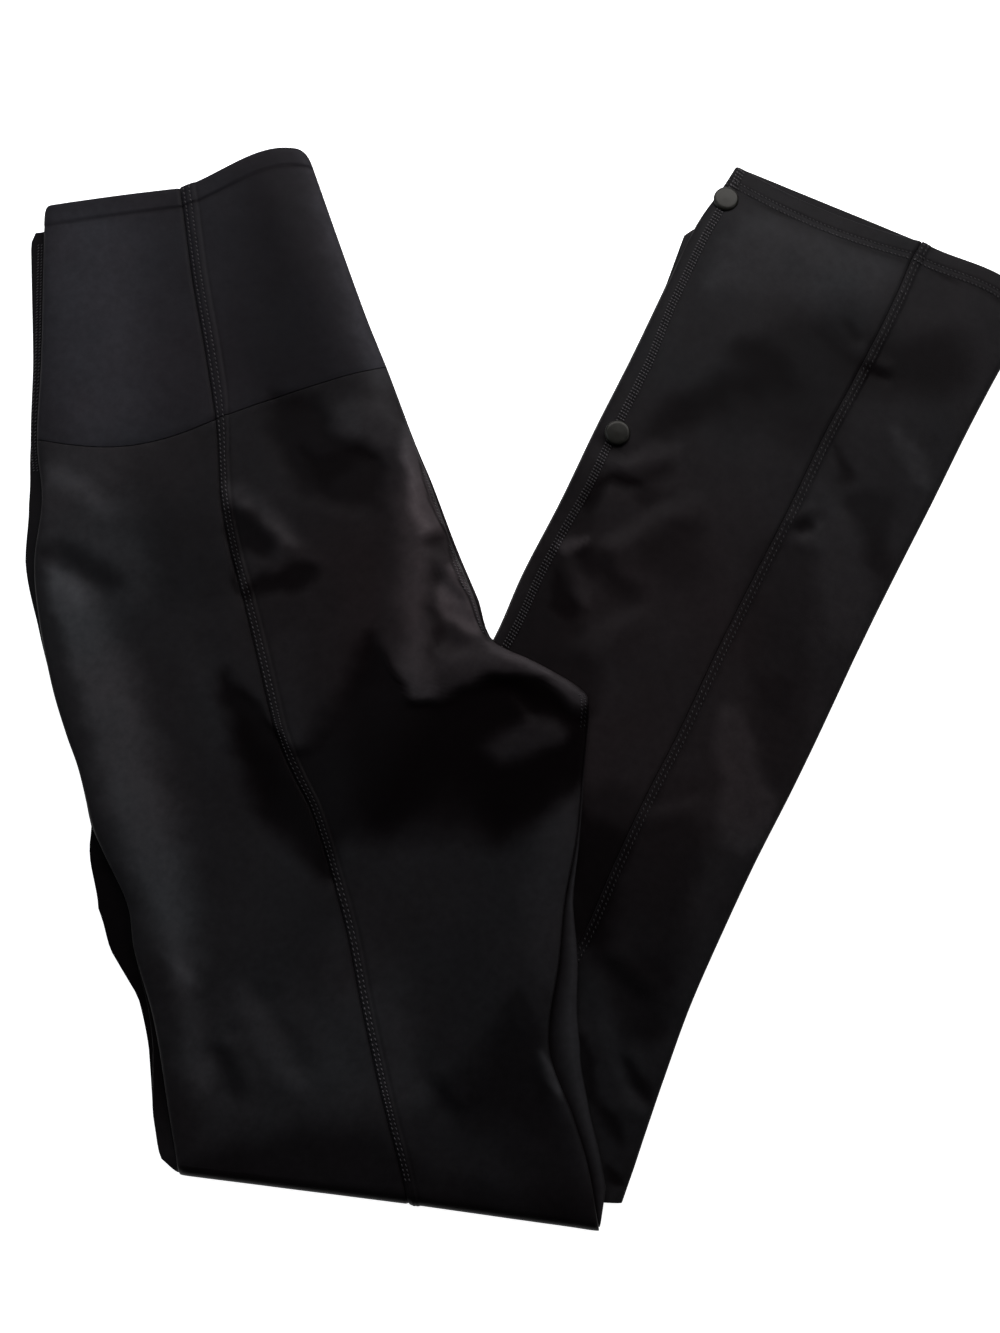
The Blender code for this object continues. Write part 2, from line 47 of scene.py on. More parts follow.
# ---------------------------------------------------------------- sizes shared with the solids (mm)
CLOTH_WALL = 1.1
WAISTBAND_WALL = 1.6
SEAM_GAP = 0.3
THIGH_STACK = 6.0             # top of the thigh part where it lies on the table
OVERLAP_STACK = 11.4          # and where it lies on the shin part
SHIN_STACK = 5.2
STEP_START = 4.0              # the thigh part climbs onto the shin part between these distances
STEP_END = 58.0               # from the shin part's edge
EDGE_ROUND = 5.0              # how wide the turn-down along a long edge is, and how deep
EDGE_DROP = 1.9
END_ROUND = 3.0               # the same along the waist and the hem
END_DROP = 0.9
FOLD_RADIUS = 6.0             # of the knee fold
LEAST_STACK = 2.6             # top ply over what lies beneath it, at the deepest
STEP_FADE = 0.83              # half height at each end of a step
FADE_LENGTH = 9.0
FOLD_RISE = 5.0               # most that a fold stands up
FOLD_SINK = 3.3               # most that a hollow goes down
CAP_RADIUS = 6.5
CAP_HEIGHT = 1.5
CAP_LIFT = 0.3
CENTER_X = 14.6               # middle of the footprint in the tables
CENTER_Y = 4.9

# left_x, left_y, seam_x, seam_y, right_x, right_y: waist edge first, knee fold last
THIGH_SECTIONS = (
    (-236, 241, -166, 251, -101, 273),
    (-236, 232, -164, 240, -97, 262),
    (-235, 196, -158, 202, -83, 222),
    (-234, 158, -150, 162, -69, 183),
    (-234, 116, -143, 122, -58, 155),
    (-230, 85, -140, 87, -44, 116),
    (-232, 53, -135, 61, -35, 93),
    (-228, 23, -127, 33, -24, 62),
    (-220, -9, -119, 3, -13, 34),
    (-212, -33, -113, -20, -4, 13),
    (-206, -48, -110, -31, 19, 1),
    (-201, -64, -105, -44, 39, -11),
    (-197, -78, -99, -56, 43, -20),
    (-191, -91, -91, -71, 41, -43),
    (-179, -115, -81, -99, 37, -82),
    (-175, -136, -72, -129, 31, -113),
    (-166, -163, -65, -161, 28, -141),
    (-161, -182, -58, -191, 23, -180),
    (-155, -210, -52, -214, 34, -212),
    (-151, -228, -46, -235, 41, -235),
    (-149, -239, -42, -252, 46, -264),
)
# the same columns: hem first, knee fold last
SHIN_SECTIONS = (
    (123, 264, 218, 222, 273, 184),
    (115, 251, 212, 212, 267, 172),
    (102, 232, 202, 190, 256, 155),
    (86, 199, 184, 155, 238, 123),
    (68, 161, 164, 119, 218, 85),
    (49, 123, 145, 81, 198, 48),
    (31, 85, 124, 41, 179, 12),
    (12, 48, 106, 6, 161, -24),
    (-3, 14, 88, -31, 143, -59),
    (-25, -22, 71, -63, 124, -94),
    (-45, -58, 55, -96, 107, -128),
    (-67, -93, 40, -129, 91, -162),
    (-87, -127, 21, -160, 78, -195),
    (-109, -161, 2, -189, 68, -222),
    (-126, -194, -19, -221, 63, -236),
    (-141, -232, -42, -247, 57, -252),
)
WAIST_BOW = (0.5, 6.0)        # of the end line, on the left and right panel
HEM_BOW = (-4.5, 7.5)

# How far each hidden ply reaches past the top ply.
# row, left ply 2, left plies 3 and 4, right ply 2, right plies 3 and 4
THIGH_REACH = (
    (0.0, 0.0, 0.0, 0.0, 0.0),
    (1.1, 0.0, 5.0, 0.0, 0.0),
    (1.3, 0.0, 7.6, 0.0, 0.0),
    (2.0, 0.0, 6.5, 0.0, 0.0),
    (3.0, 0.0, 5.0, 0.0, 0.0),
    (4.0, 0.0, 4.0, 0.0, 0.5),
    (5.0, 0.0, 7.5, 0.0, 1.0),
    (6.0, 0.0, 5.5, 0.5, 1.5),
    (7.0, 0.0, 2.0, 0.5, 2.0),
    (8.0, 0.0, 0.5, 0.5, 2.5),
    (9.2, 0.0, 0.5, 0.3, 0.5),
    (12.0, 0.0, 1.5, 0.4, 0.6),
    (13.0, 0.0, 8.0, 0.5, 0.6),
    (14.0, 0.0, 15.0, 1.5, 1.0),
    (15.0, 0.5, 12.0, 4.0, 2.0),
    (15.8, 1.5, 5.5, 8.0, 4.0),
    (17.0, 3.5, 6.0, 15.0, 9.0),
    (18.0, 8.5, 8.8, 8.0, 5.0),
    (19.0, 8.8, 8.6, 6.5, 4.5),
    (20.0, 5.5, 6.0, 6.0, 5.0),
)
SHIN_REACH = (
    (0.0, 0.0, 0.0, 0.0, 0.0),
    (2.05, 0.2, 0.3, 0.3, 0.4),
    (2.20, 0.3, 3.4, 0.3, 0.5),
    (3.0, 0.3, 0.6, 0.3, 0.5),
    (15.0, 0.3, 0.6, 0.3, 0.5),
)

# ---------------------------------------------------------------- folds
# Ridges (+) and hollows (-): start_x, start_y, end_x, end_y, start_width, end_width, height.
THIGH_FOLDS = (
    (-119, 244, -79, 158, 12.7, 13.7, 0.7),      # crest towards the rise
    (-97, 272, -52, 145, 12.7, 11.8, -2.4),      # fall to the rise edge
    (-52, 145, -19, 54, 9.8, 5.9, -1.6),         # fall to the rise edge, leg
    (-220, 44, -211, -11, 19.6, 21.6, 1.2),      # lofted outseam fold 1
    (-211, -11, -188, -70, 21.6, 22.5, 1.2),     # lofted outseam fold 2
    (-188, -70, -157, -141, 22.5, 21.6, 1.0),    # lofted outseam fold 3
    (-157, -141, -143, -201, 19.6, 14.7, 0.6),   # lofted outseam fold 4
    (-29, -1, 5, 1, 10.8, 9.8, 1.6),             # ridge to the crotch 1
    (5, 1, 41, -14, 8.8, 5.9, 1.4),              # ridge to the crotch 2
    (-108, -152, 9, -147, 32.3, 30.4, 1.2),      # broad swell above the knee
)
SHIN_FOLDS = (
    (130, 229, 180, 201, 16.7, 18.6, 1.6),       # hem pillow
    (255, 163, 157, -16, 10.8, 11.8, -0.8),      # fall along the right edge
)
# Soft steps: start_x, start_y, end_x, end_y, start_width, end_width, height.
# The cloth falls from a crest on the line's left to a trough on its right, looking along it.
THIGH_STEPS = (
    (-101, 60, -129, 84, 4.4, 3.9, 0.9),        # ridge over it
    (-220, 59, -187, 39, 7.8, 8.8, 1.5),        # crease in from the side
    (-52, 120, -51, 53, 9.8, 10.8, 0.9),        # upright ridge
    (-53, 55, -47, -12, 10.8, 10.8, 1.1),       # tongue
    (-31, 8, -35, 53, 4.4, 3.9, 0.6),           # right of the tongue
    (-39, 61, -26, 70, 3.4, 3.4, 1.0),          # gather 1
    (-30, 47, -17, 33, 3.9, 2.9, 1.2),          # gather 2
    (-31, 8, -28, 30, 3.9, 3.4, 0.8),           # gather 3
    (-11, 50, -32, 55, 3.9, 3.9, 1.0),          # between gathers 1
    (-7, 13, -27, 25, 3.9, 4.4, 1.1),           # between gathers 2
    (0, 6, -29, 7, 6.9, 6.9, 0.9),              # crotch strip 1
    (21, -2, 0, 6, 6.4, 6.9, 0.9),              # crotch strip 2
    (44, -18, 21, -2, 4.9, 6.4, 0.8),           # crotch strip 3
    (0, -8, 32, -22, 4.4, 4.4, 0.4),            # under the crotch strip
    (16, -27, 4, -11, 2.9, 2.9, 0.7),           # small diagonal
    (-33, -191, -20, -210, 3.9, 4.4, 0.8),      # short diagonal
    (-94, -199, -119, -159, 7.3, 6.9, 0.9),     # light diagonal 1
    (-71, -197, -94, -160, 6.9, 6.4, 0.6),      # light diagonal 2
    (-131, -179, -121, -203, 4.9, 5.4, 1.1),    # dimple
    (29, -206, 22, -184, 3.4, 3.9, 1.0),        # curl
)
SHIN_STEPS = (
    (88, 107, 59, 104, 4.4, 3.9, 0.4),          # light over it
    (91, 81, 50, 58, 6.4, 5.9, 0.6),            # light ridge a
    (70, 30, 36, 9, 6.9, 6.9, 0.7),             # light ridge b
    (184, 156, 199, 150, 2.9, 2.9, 0.6),        # crease at the seam
    (146, 69, 159, 78, 3.4, 3.4, 0.8),          # dimple
    (98, -65, 69, -72, 4.4, 3.9, 0.5),          # light low
    (111, -91, 97, -112, 5.9, 5.9, 0.5),        # light low 2
    (50, -139, 70, -159, 4.9, 4.9, 1.0),        # knee diagonal 1
    (57, -183, 66, -202, 3.9, 3.9, 0.8),        # knee diagonal 3
    (40, -205, 47, -178, 3.9, 3.9, 0.8),        # knee dark
    (71, -208, 52, -204, 3.9, 3.9, 0.3),        # knee light
    (56, -247, 48, -236, 3.4, 3.4, 0.7),        # tip
)
# Zones where the cloth goes down or stands up, with painted shade (tone below one) and painted
# highlight (tone above one):
# depth, tone, then the outline's corners with how soft the edge is there (x, y, half width).
THIGH_ZONES = (
    (0, 1.86, (  # band at the side, painted highlight
        (-233, 236, 15.7), (-201, 240, 15.7), (-182, 227, 23.5), (-178, 173, 23.5),
        (-177, 115, 23.5), (-221, 115, 15.7), (-234, 189, 15.7))),
    (0, 0.54, (  # band towards the rise, painted shade
        (-132, 257, 23.5), (-106, 255, 23.5), (-93, 205, 23.5), (-83, 144, 23.5),
        (-120, 136, 18.6), (-135, 189, 23.5))),
    (0, 2.33, (  # band edge over the rise
        (-103, 271, 6.9), (-88, 243, 6.9), (-64, 173, 6.9), (-53, 144, 5.9), (-65, 144, 6.9),
        (-79, 189, 7.8), (-98, 243, 7.8))),
    (0.1, 0.96, (  # shallow dip from seam to rise, painted a little darker
        (-148, 115, 11.8), (-121, 131, 11.8), (-61, 136, 7.8), (-50, 99, 4.9), (-50, 53, 5.9),
        (-59, 33, 9.8), (-98, 23, 11.8), (-135, 23, 7.8), (-152, 63, 11.8))),
    (0, 1.66, (  # below the hip, painted highlight
        (-227, 109, 4.9), (-190, 105, 11.8), (-179, 74, 11.8), (-173, 33, 11.8), (-212, 33, 7.8),
        (-227, 63, 4.9))),
    (0, 1.55, (  # above the knee
        (-142, -164, 14.7), (-104, -152, 14.7), (-47, -152, 14.7), (-38, -187, 11.8),
        (-37, -209, 7.8), (-93, -214, 9.8), (-140, -218, 9.8))),
    (1.8, 0.21, (  # hollow under the crotch
        (-62, 17, 3.9), (-58, 12, 2.9), (-54, 2, 2.5), (-49, -9, 2.5), (-45, -16, 2.5),
        (-34, -19, 2.5), (-26, -17, 2.9), (-18, -11, 3.4), (-5, -6, 3.4), (15, -4, 2.9),
        (22, -9, 2.5), (30, -17, 2.9), (37, -22, 2.9), (44, -25, 2.5), (43, -39, 2.9),
        (41, -56, 4.4), (30, -68, 5.9), (18, -78, 7.8), (6, -85, 9.8), (-5, -86, 11.8),
        (-17, -81, 13.7), (-29, -80, 14.7), (-43, -83, 13.7), (-54, -85, 11.8), (-63, -85, 10.8),
        (-71, -85, 8.8), (-77, -91, 6.9), (-79, -102, 4.9), (-83, -104, 5.9), (-90, -98, 7.3),
        (-98, -90, 8.3), (-105, -83, 8.8), (-114, -74, 8.8), (-120, -64, 8.8), (-124, -54, 8.3),
        (-128, -42, 7.3), (-131, -31, 6.4), (-135, -19, 5.9), (-137, -9, 4.9), (-136, -2, 4.4),
        (-129, -9, 3.9), (-120, -17, 3.4), (-113, -27, 2.9), (-107, -37, 2.9), (-101, -42, 3.4),
        (-95, -39, 4.9), (-89, -30, 6.9), (-81, -19, 8.8), (-76, -10, 9.3), (-73, 2, 7.8),
        (-67, 13, 5.4))),
    (0.2, 0.37, (  # hollow, deepest
        (-63, 11, 3.4), (-57, 7, 2.9), (-53, 0, 2.5), (-49, -11, 2.5), (-44, -18, 2.5),
        (-34, -21, 2.5), (-26, -18, 2.9), (-17, -13, 3.4), (-5, -8, 3.9), (15, -6, 3.4),
        (22, -11, 2.9), (29, -18, 2.9), (36, -24, 2.9), (43, -27, 2.5), (43, -39, 2.9),
        (41, -52, 3.9), (29, -60, 6.9), (14, -72, 8.8), (2, -80, 8.8), (-6, -80, 8.8),
        (-11, -65, 9.8), (-24, -58, 10.8), (-35, -65, 9.8), (-46, -74, 8.8), (-56, -79, 6.9),
        (-64, -74, 6.9), (-70, -60, 7.8), (-73, -41, 8.8), (-72, -21, 8.8), (-70, -4, 6.9))),
    (0.1, 0.35, (  # hollow, its left arm
        (-129, -24, 4.9), (-122, -30, 4.4), (-113, -40, 4.4), (-105, -50, 3.9), (-97, -60, 3.9),
        (-91, -72, 3.9), (-86, -87, 3.9), (-82, -99, 3.9), (-89, -95, 6.4), (-98, -85, 7.3),
        (-108, -76, 7.3), (-117, -63, 6.9), (-123, -48, 6.4))),
    (-0.9, 12, (  # light patch in it
        (-7, -40, 5.9), (0, -32, 4.9), (15, -26, 4.4), (27, -27, 3.4), (34, -33, 3.4),
        (25, -40, 4.4), (12, -46, 5.9), (0, -48, 6.9))),
    (1, 0.35, (  # V hollow
        (-115, 138, 6.9), (-92, 137, 4.9), (-88, 125, 3.9), (-79, 115, 3.4), (-68, 112, 3.4),
        (-60, 107, 3.4), (-58, 95, 3.9), (-60, 84, 6.9), (-64, 78, 7.8), (-75, 80, 5.9),
        (-85, 82, 4.9), (-97, 87, 5.9), (-105, 94, 5.9), (-110, 107, 5.9), (-116, 120, 6.9))),
    (0.3, 0.43, (  # V hollow, deepest
        (-100, 112, 3.9), (-92, 107, 3.4), (-78, 111, 2.9), (-67, 110, 2.9), (-63, 107, 2.9),
        (-72, 101, 3.4), (-81, 97, 3.9), (-88, 89, 4.9), (-94, 95, 3.9))),
    (-0.4, 1.77, (  # swell over it
        (-82, 135, 3.9), (-71, 138, 4.9), (-55, 134, 4.4), (-51, 115, 3.9), (-57, 112, 2.9),
        (-67, 116, 3.4), (-77, 118, 3.4), (-83, 126, 3.9))),
    (0.2, 0.8, (  # dip by the seam, painted darker
        (-100, 81, 7.8), (-85, 78, 6.9), (-64, 74, 5.9), (-55, 84, 3.9), (-52, 61, 3.9),
        (-54, 43, 4.9), (-57, 23, 4.9), (-61, 17, 3.9), (-69, 15, 4.9), (-78, -7, 6.9),
        (-89, -26, 6.9), (-95, -17, 5.9), (-98, 13, 6.9), (-120, 13, 3.9), (-128, 35, 3.9),
        (-118, 38, 4.9), (-89, 53, 5.9), (-99, 69, 5.9))),
    (0.7, 0.27, (  # short crease right of the seam
        (-139, 80, 2.0), (-127, 77, 2.9), (-118, 71, 2.9), (-111, 60, 2.9), (-118, 55, 3.4),
        (-126, 58, 3.4), (-131, 52, 2.9), (-128, 37, 2.5), (-132, 41, 2.0), (-135, 58, 2.0))),
    (0.8, 0.2, (  # pocket
        (-128, 35, 2.5), (-120, 44, 3.4), (-107, 50, 3.4), (-94, 52, 3.4), (-90, 47, 3.4),
        (-97, 39, 3.4), (-107, 38, 3.4), (-118, 35, 2.9), (-125, 31, 2.5))),
    (-0.6, 1.8, (  # swell over the short crease
        (-137, 94, 3.9), (-125, 90, 4.4), (-115, 83, 4.4), (-105, 70, 4.4), (-102, 61, 4.4),
        (-108, 61, 2.9), (-115, 72, 2.9), (-126, 80, 2.9), (-137, 84, 2.9))),
    (0.8, 0.59, (  # crease in from the side
        (-229, 60, 2.9), (-219, 63, 3.9), (-208, 61, 4.9), (-199, 55, 4.9), (-190, 47, 5.9),
        (-186, 40, 5.9), (-197, 38, 3.9), (-207, 45, 3.4), (-217, 52, 2.9), (-227, 55, 2.5))),
    (-0.4, 1.9, (  # swell over the side crease
        (-228, 103, 3.9), (-215, 99, 5.9), (-200, 89, 6.9), (-193, 79, 7.8), (-199, 76, 6.9),
        (-212, 86, 5.9), (-226, 94, 3.9))),
    (-0.6, 3.14, (  # lofted outseam fold
        (-227, 51, 3.9), (-215, 46, 4.9), (-201, 33, 8.8), (-185, 8, 11.8), (-174, -21, 11.8),
        (-163, -55, 12.7), (-151, -89, 13.7), (-145, -122, 12.7), (-145, -150, 10.8),
        (-154, -150, 9.8), (-167, -122, 8.8), (-184, -84, 8.8), (-198, -41, 7.8), (-210, -2, 5.9),
        (-220, 28, 3.9))),
    (0.2, 0.81, (  # dip left of the seam, painted darker
        (-177, 81, 8.8), (-159, 79, 8.8), (-143, 74, 6.9), (-138, 53, 5.9), (-135, 33, 5.9),
        (-153, 30, 7.8), (-168, 38, 7.8), (-176, 58, 7.8))),
    (0.1, 1.17, (  # shallow dip left of the seam, lower, painted a little paler
        (-157, 13, 6.9), (-145, 8, 5.9), (-139, -12, 5.9), (-135, -36, 5.9), (-143, -39, 6.9),
        (-151, -17, 6.9))),
    (-0.9, 2.42, (  # tongue
        (-49, 110, 7.8), (-44, 99, 4.9), (-38, 74, 4.9), (-35, 53, 4.9), (-37, 23, 5.4),
        (-34, -2, 4.9), (-31, -12, 2.9), (-34, -18, 2.5), (-42, -16, 2.5), (-46, -9, 2.9),
        (-50, 3, 5.9), (-47, 21, 8.3), (-51, 38, 7.8), (-47, 56, 8.8), (-52, 74, 8.3),
        (-48, 92, 8.8))),
    (-0.3, 2.93, (  # swell along the rise
        (-50, 125, 2.9), (-40, 115, 2.9), (-34, 89, 2.0), (-29, 69, 2.0), (-40, 67, 3.9),
        (-44, 84, 3.9), (-48, 99, 3.4))),
    (-0.3, 3.92, (  # gathers
        (-30, 43, 3.9), (-24, 53, 3.9), (-15, 43, 2.5), (-10, 31, 2.0), (-8, 15, 2.5),
        (-15, 15, 2.9), (-24, 23, 3.4), (-30, 28, 3.4))),
    (0.4, 0.5, (  # between tongue and gathers
        (-35, 28, 2.5), (-30, 27, 2.5), (-28, 13, 2.9), (-29, 8, 2.9), (-33, 13, 2.5))),
    (-0.3, 1.51, (  # over the crotch
        (-29, 1, 3.9), (-15, 10, 3.9), (5, 7, 2.9), (24, -3, 2.5), (20, -7, 2.9), (-5, -5, 3.4),
        (-19, -10, 3.4), (-26, -13, 3.4), (-30, -8, 3.9))),
    (-0.6, 2.18, (  # crotch strip
        (-8, 13, 2.0), (2, 11, 2.0), (15, 4, 2.0), (25, -2, 2.0), (37, -9, 2.0), (46, -16, 2.0),
        (39, -19, 2.0), (29, -14, 2.0), (22, -7, 2.0), (10, 1, 2.5), (-2, 5, 2.5))),
    (0, 0.19, (  # painted shadow at the crotch tip
        (41, -19, 1.5), (46, -19, 1.5), (46, -35, 1.5), (41, -36, 1.5))),
    (1, 0.64, (  # hollow above the knee
        (11, -155, 2.9), (16, -165, 2.9), (19, -178, 3.4), (23, -192, 3.9), (26, -207, 4.4),
        (31, -223, 4.9), (36, -241, 5.9), (28, -250, 6.9), (9, -241, 8.8), (0, -227, 8.8),
        (-14, -221, 7.8), (-28, -209, 6.9), (-28, -196, 5.9), (-18, -192, 5.9), (-8, -180, 5.9),
        (0, -166, 4.9), (7, -158, 3.9))),
    (0.4, 0.77, (  # hollow above the knee, deepest
        (6, -169, 3.9), (14, -178, 3.9), (19, -191, 3.9), (22, -209, 4.9), (24, -227, 5.9),
        (9, -214, 5.9), (-5, -213, 5.9), (-16, -209, 4.9), (-8, -196, 4.9), (0, -178, 3.9))),
    (0, 0.59, (  # along the knee
        (-144, -230, 4.9), (-112, -223, 6.9), (-79, -218, 6.9), (-51, -223, 5.9), (-33, -236, 5.9),
        (9, -243, 5.9), (46, -245, 4.9), (46, -263, 2.0), (-46, -252, 2.0), (-144, -240, 2.0))),
    (0.5, 0.67, (  # dimple
        (-134, -181, 3.9), (-124, -184, 3.9), (-118, -198, 4.4), (-121, -207, 3.9),
        (-127, -201, 3.9), (-133, -191, 3.9))),
    (-0.5, 1.34, (  # light diagonal
        (-123, -154, 4.9), (-115, -157, 4.4), (-106, -170, 4.4), (-97, -185, 4.4),
        (-91, -200, 3.9), (-98, -202, 4.9), (-107, -192, 4.9), (-115, -179, 4.9),
        (-123, -165, 4.9))),
    (-0.4, 1.73, (  # swell left of the dimple
        (-157, -141, 4.9), (-144, -150, 5.9), (-139, -178, 5.9), (-135, -198, 5.9),
        (-142, -201, 5.9), (-149, -187, 4.9), (-153, -164, 4.9))),
    (0, 0.85, (  # corner at the knee, painted a little darker
        (-165, -176, 2.0), (-159, -178, 2.5), (-154, -191, 2.9), (-148, -201, 2.9),
        (-140, -209, 2.9), (-138, -215, 2.9), (-142, -223, 2.5), (-144, -227, 2.5),
        (-141, -231, 2.5), (-126, -231, 3.9), (-114, -232, 4.9), (-116, -242, 2.0),
        (-144, -240, 2.0), (-158, -234, 2.0), (-164, -205, 2.0))),
    (-0.2, 2.7, (  # curl
        (19, -183, 2.5), (23, -185, 1.5), (30, -199, 1.5), (28, -204, 2.0), (22, -198, 2.5))),
    (-0.2, 1.42, (  # swell along the right edge
        (22, -80, 6.9), (36, -65, 3.9), (37, -94, 2.9), (33, -122, 2.9), (31, -150, 3.9),
        (23, -155, 5.9), (13, -141, 7.8), (12, -113, 7.8))),
    (-0.3, 1.2, (  # swell by the seam's end
        (-86, -131, 8.8), (-71, -127, 7.8), (-47, -141, 7.8), (-45, -164, 7.8), (-35, -196, 6.9),
        (-37, -209, 6.9), (-51, -205, 7.8), (-66, -207, 7.8), (-89, -209, 7.8), (-94, -196, 7.8),
        (-80, -178, 8.8))),
)
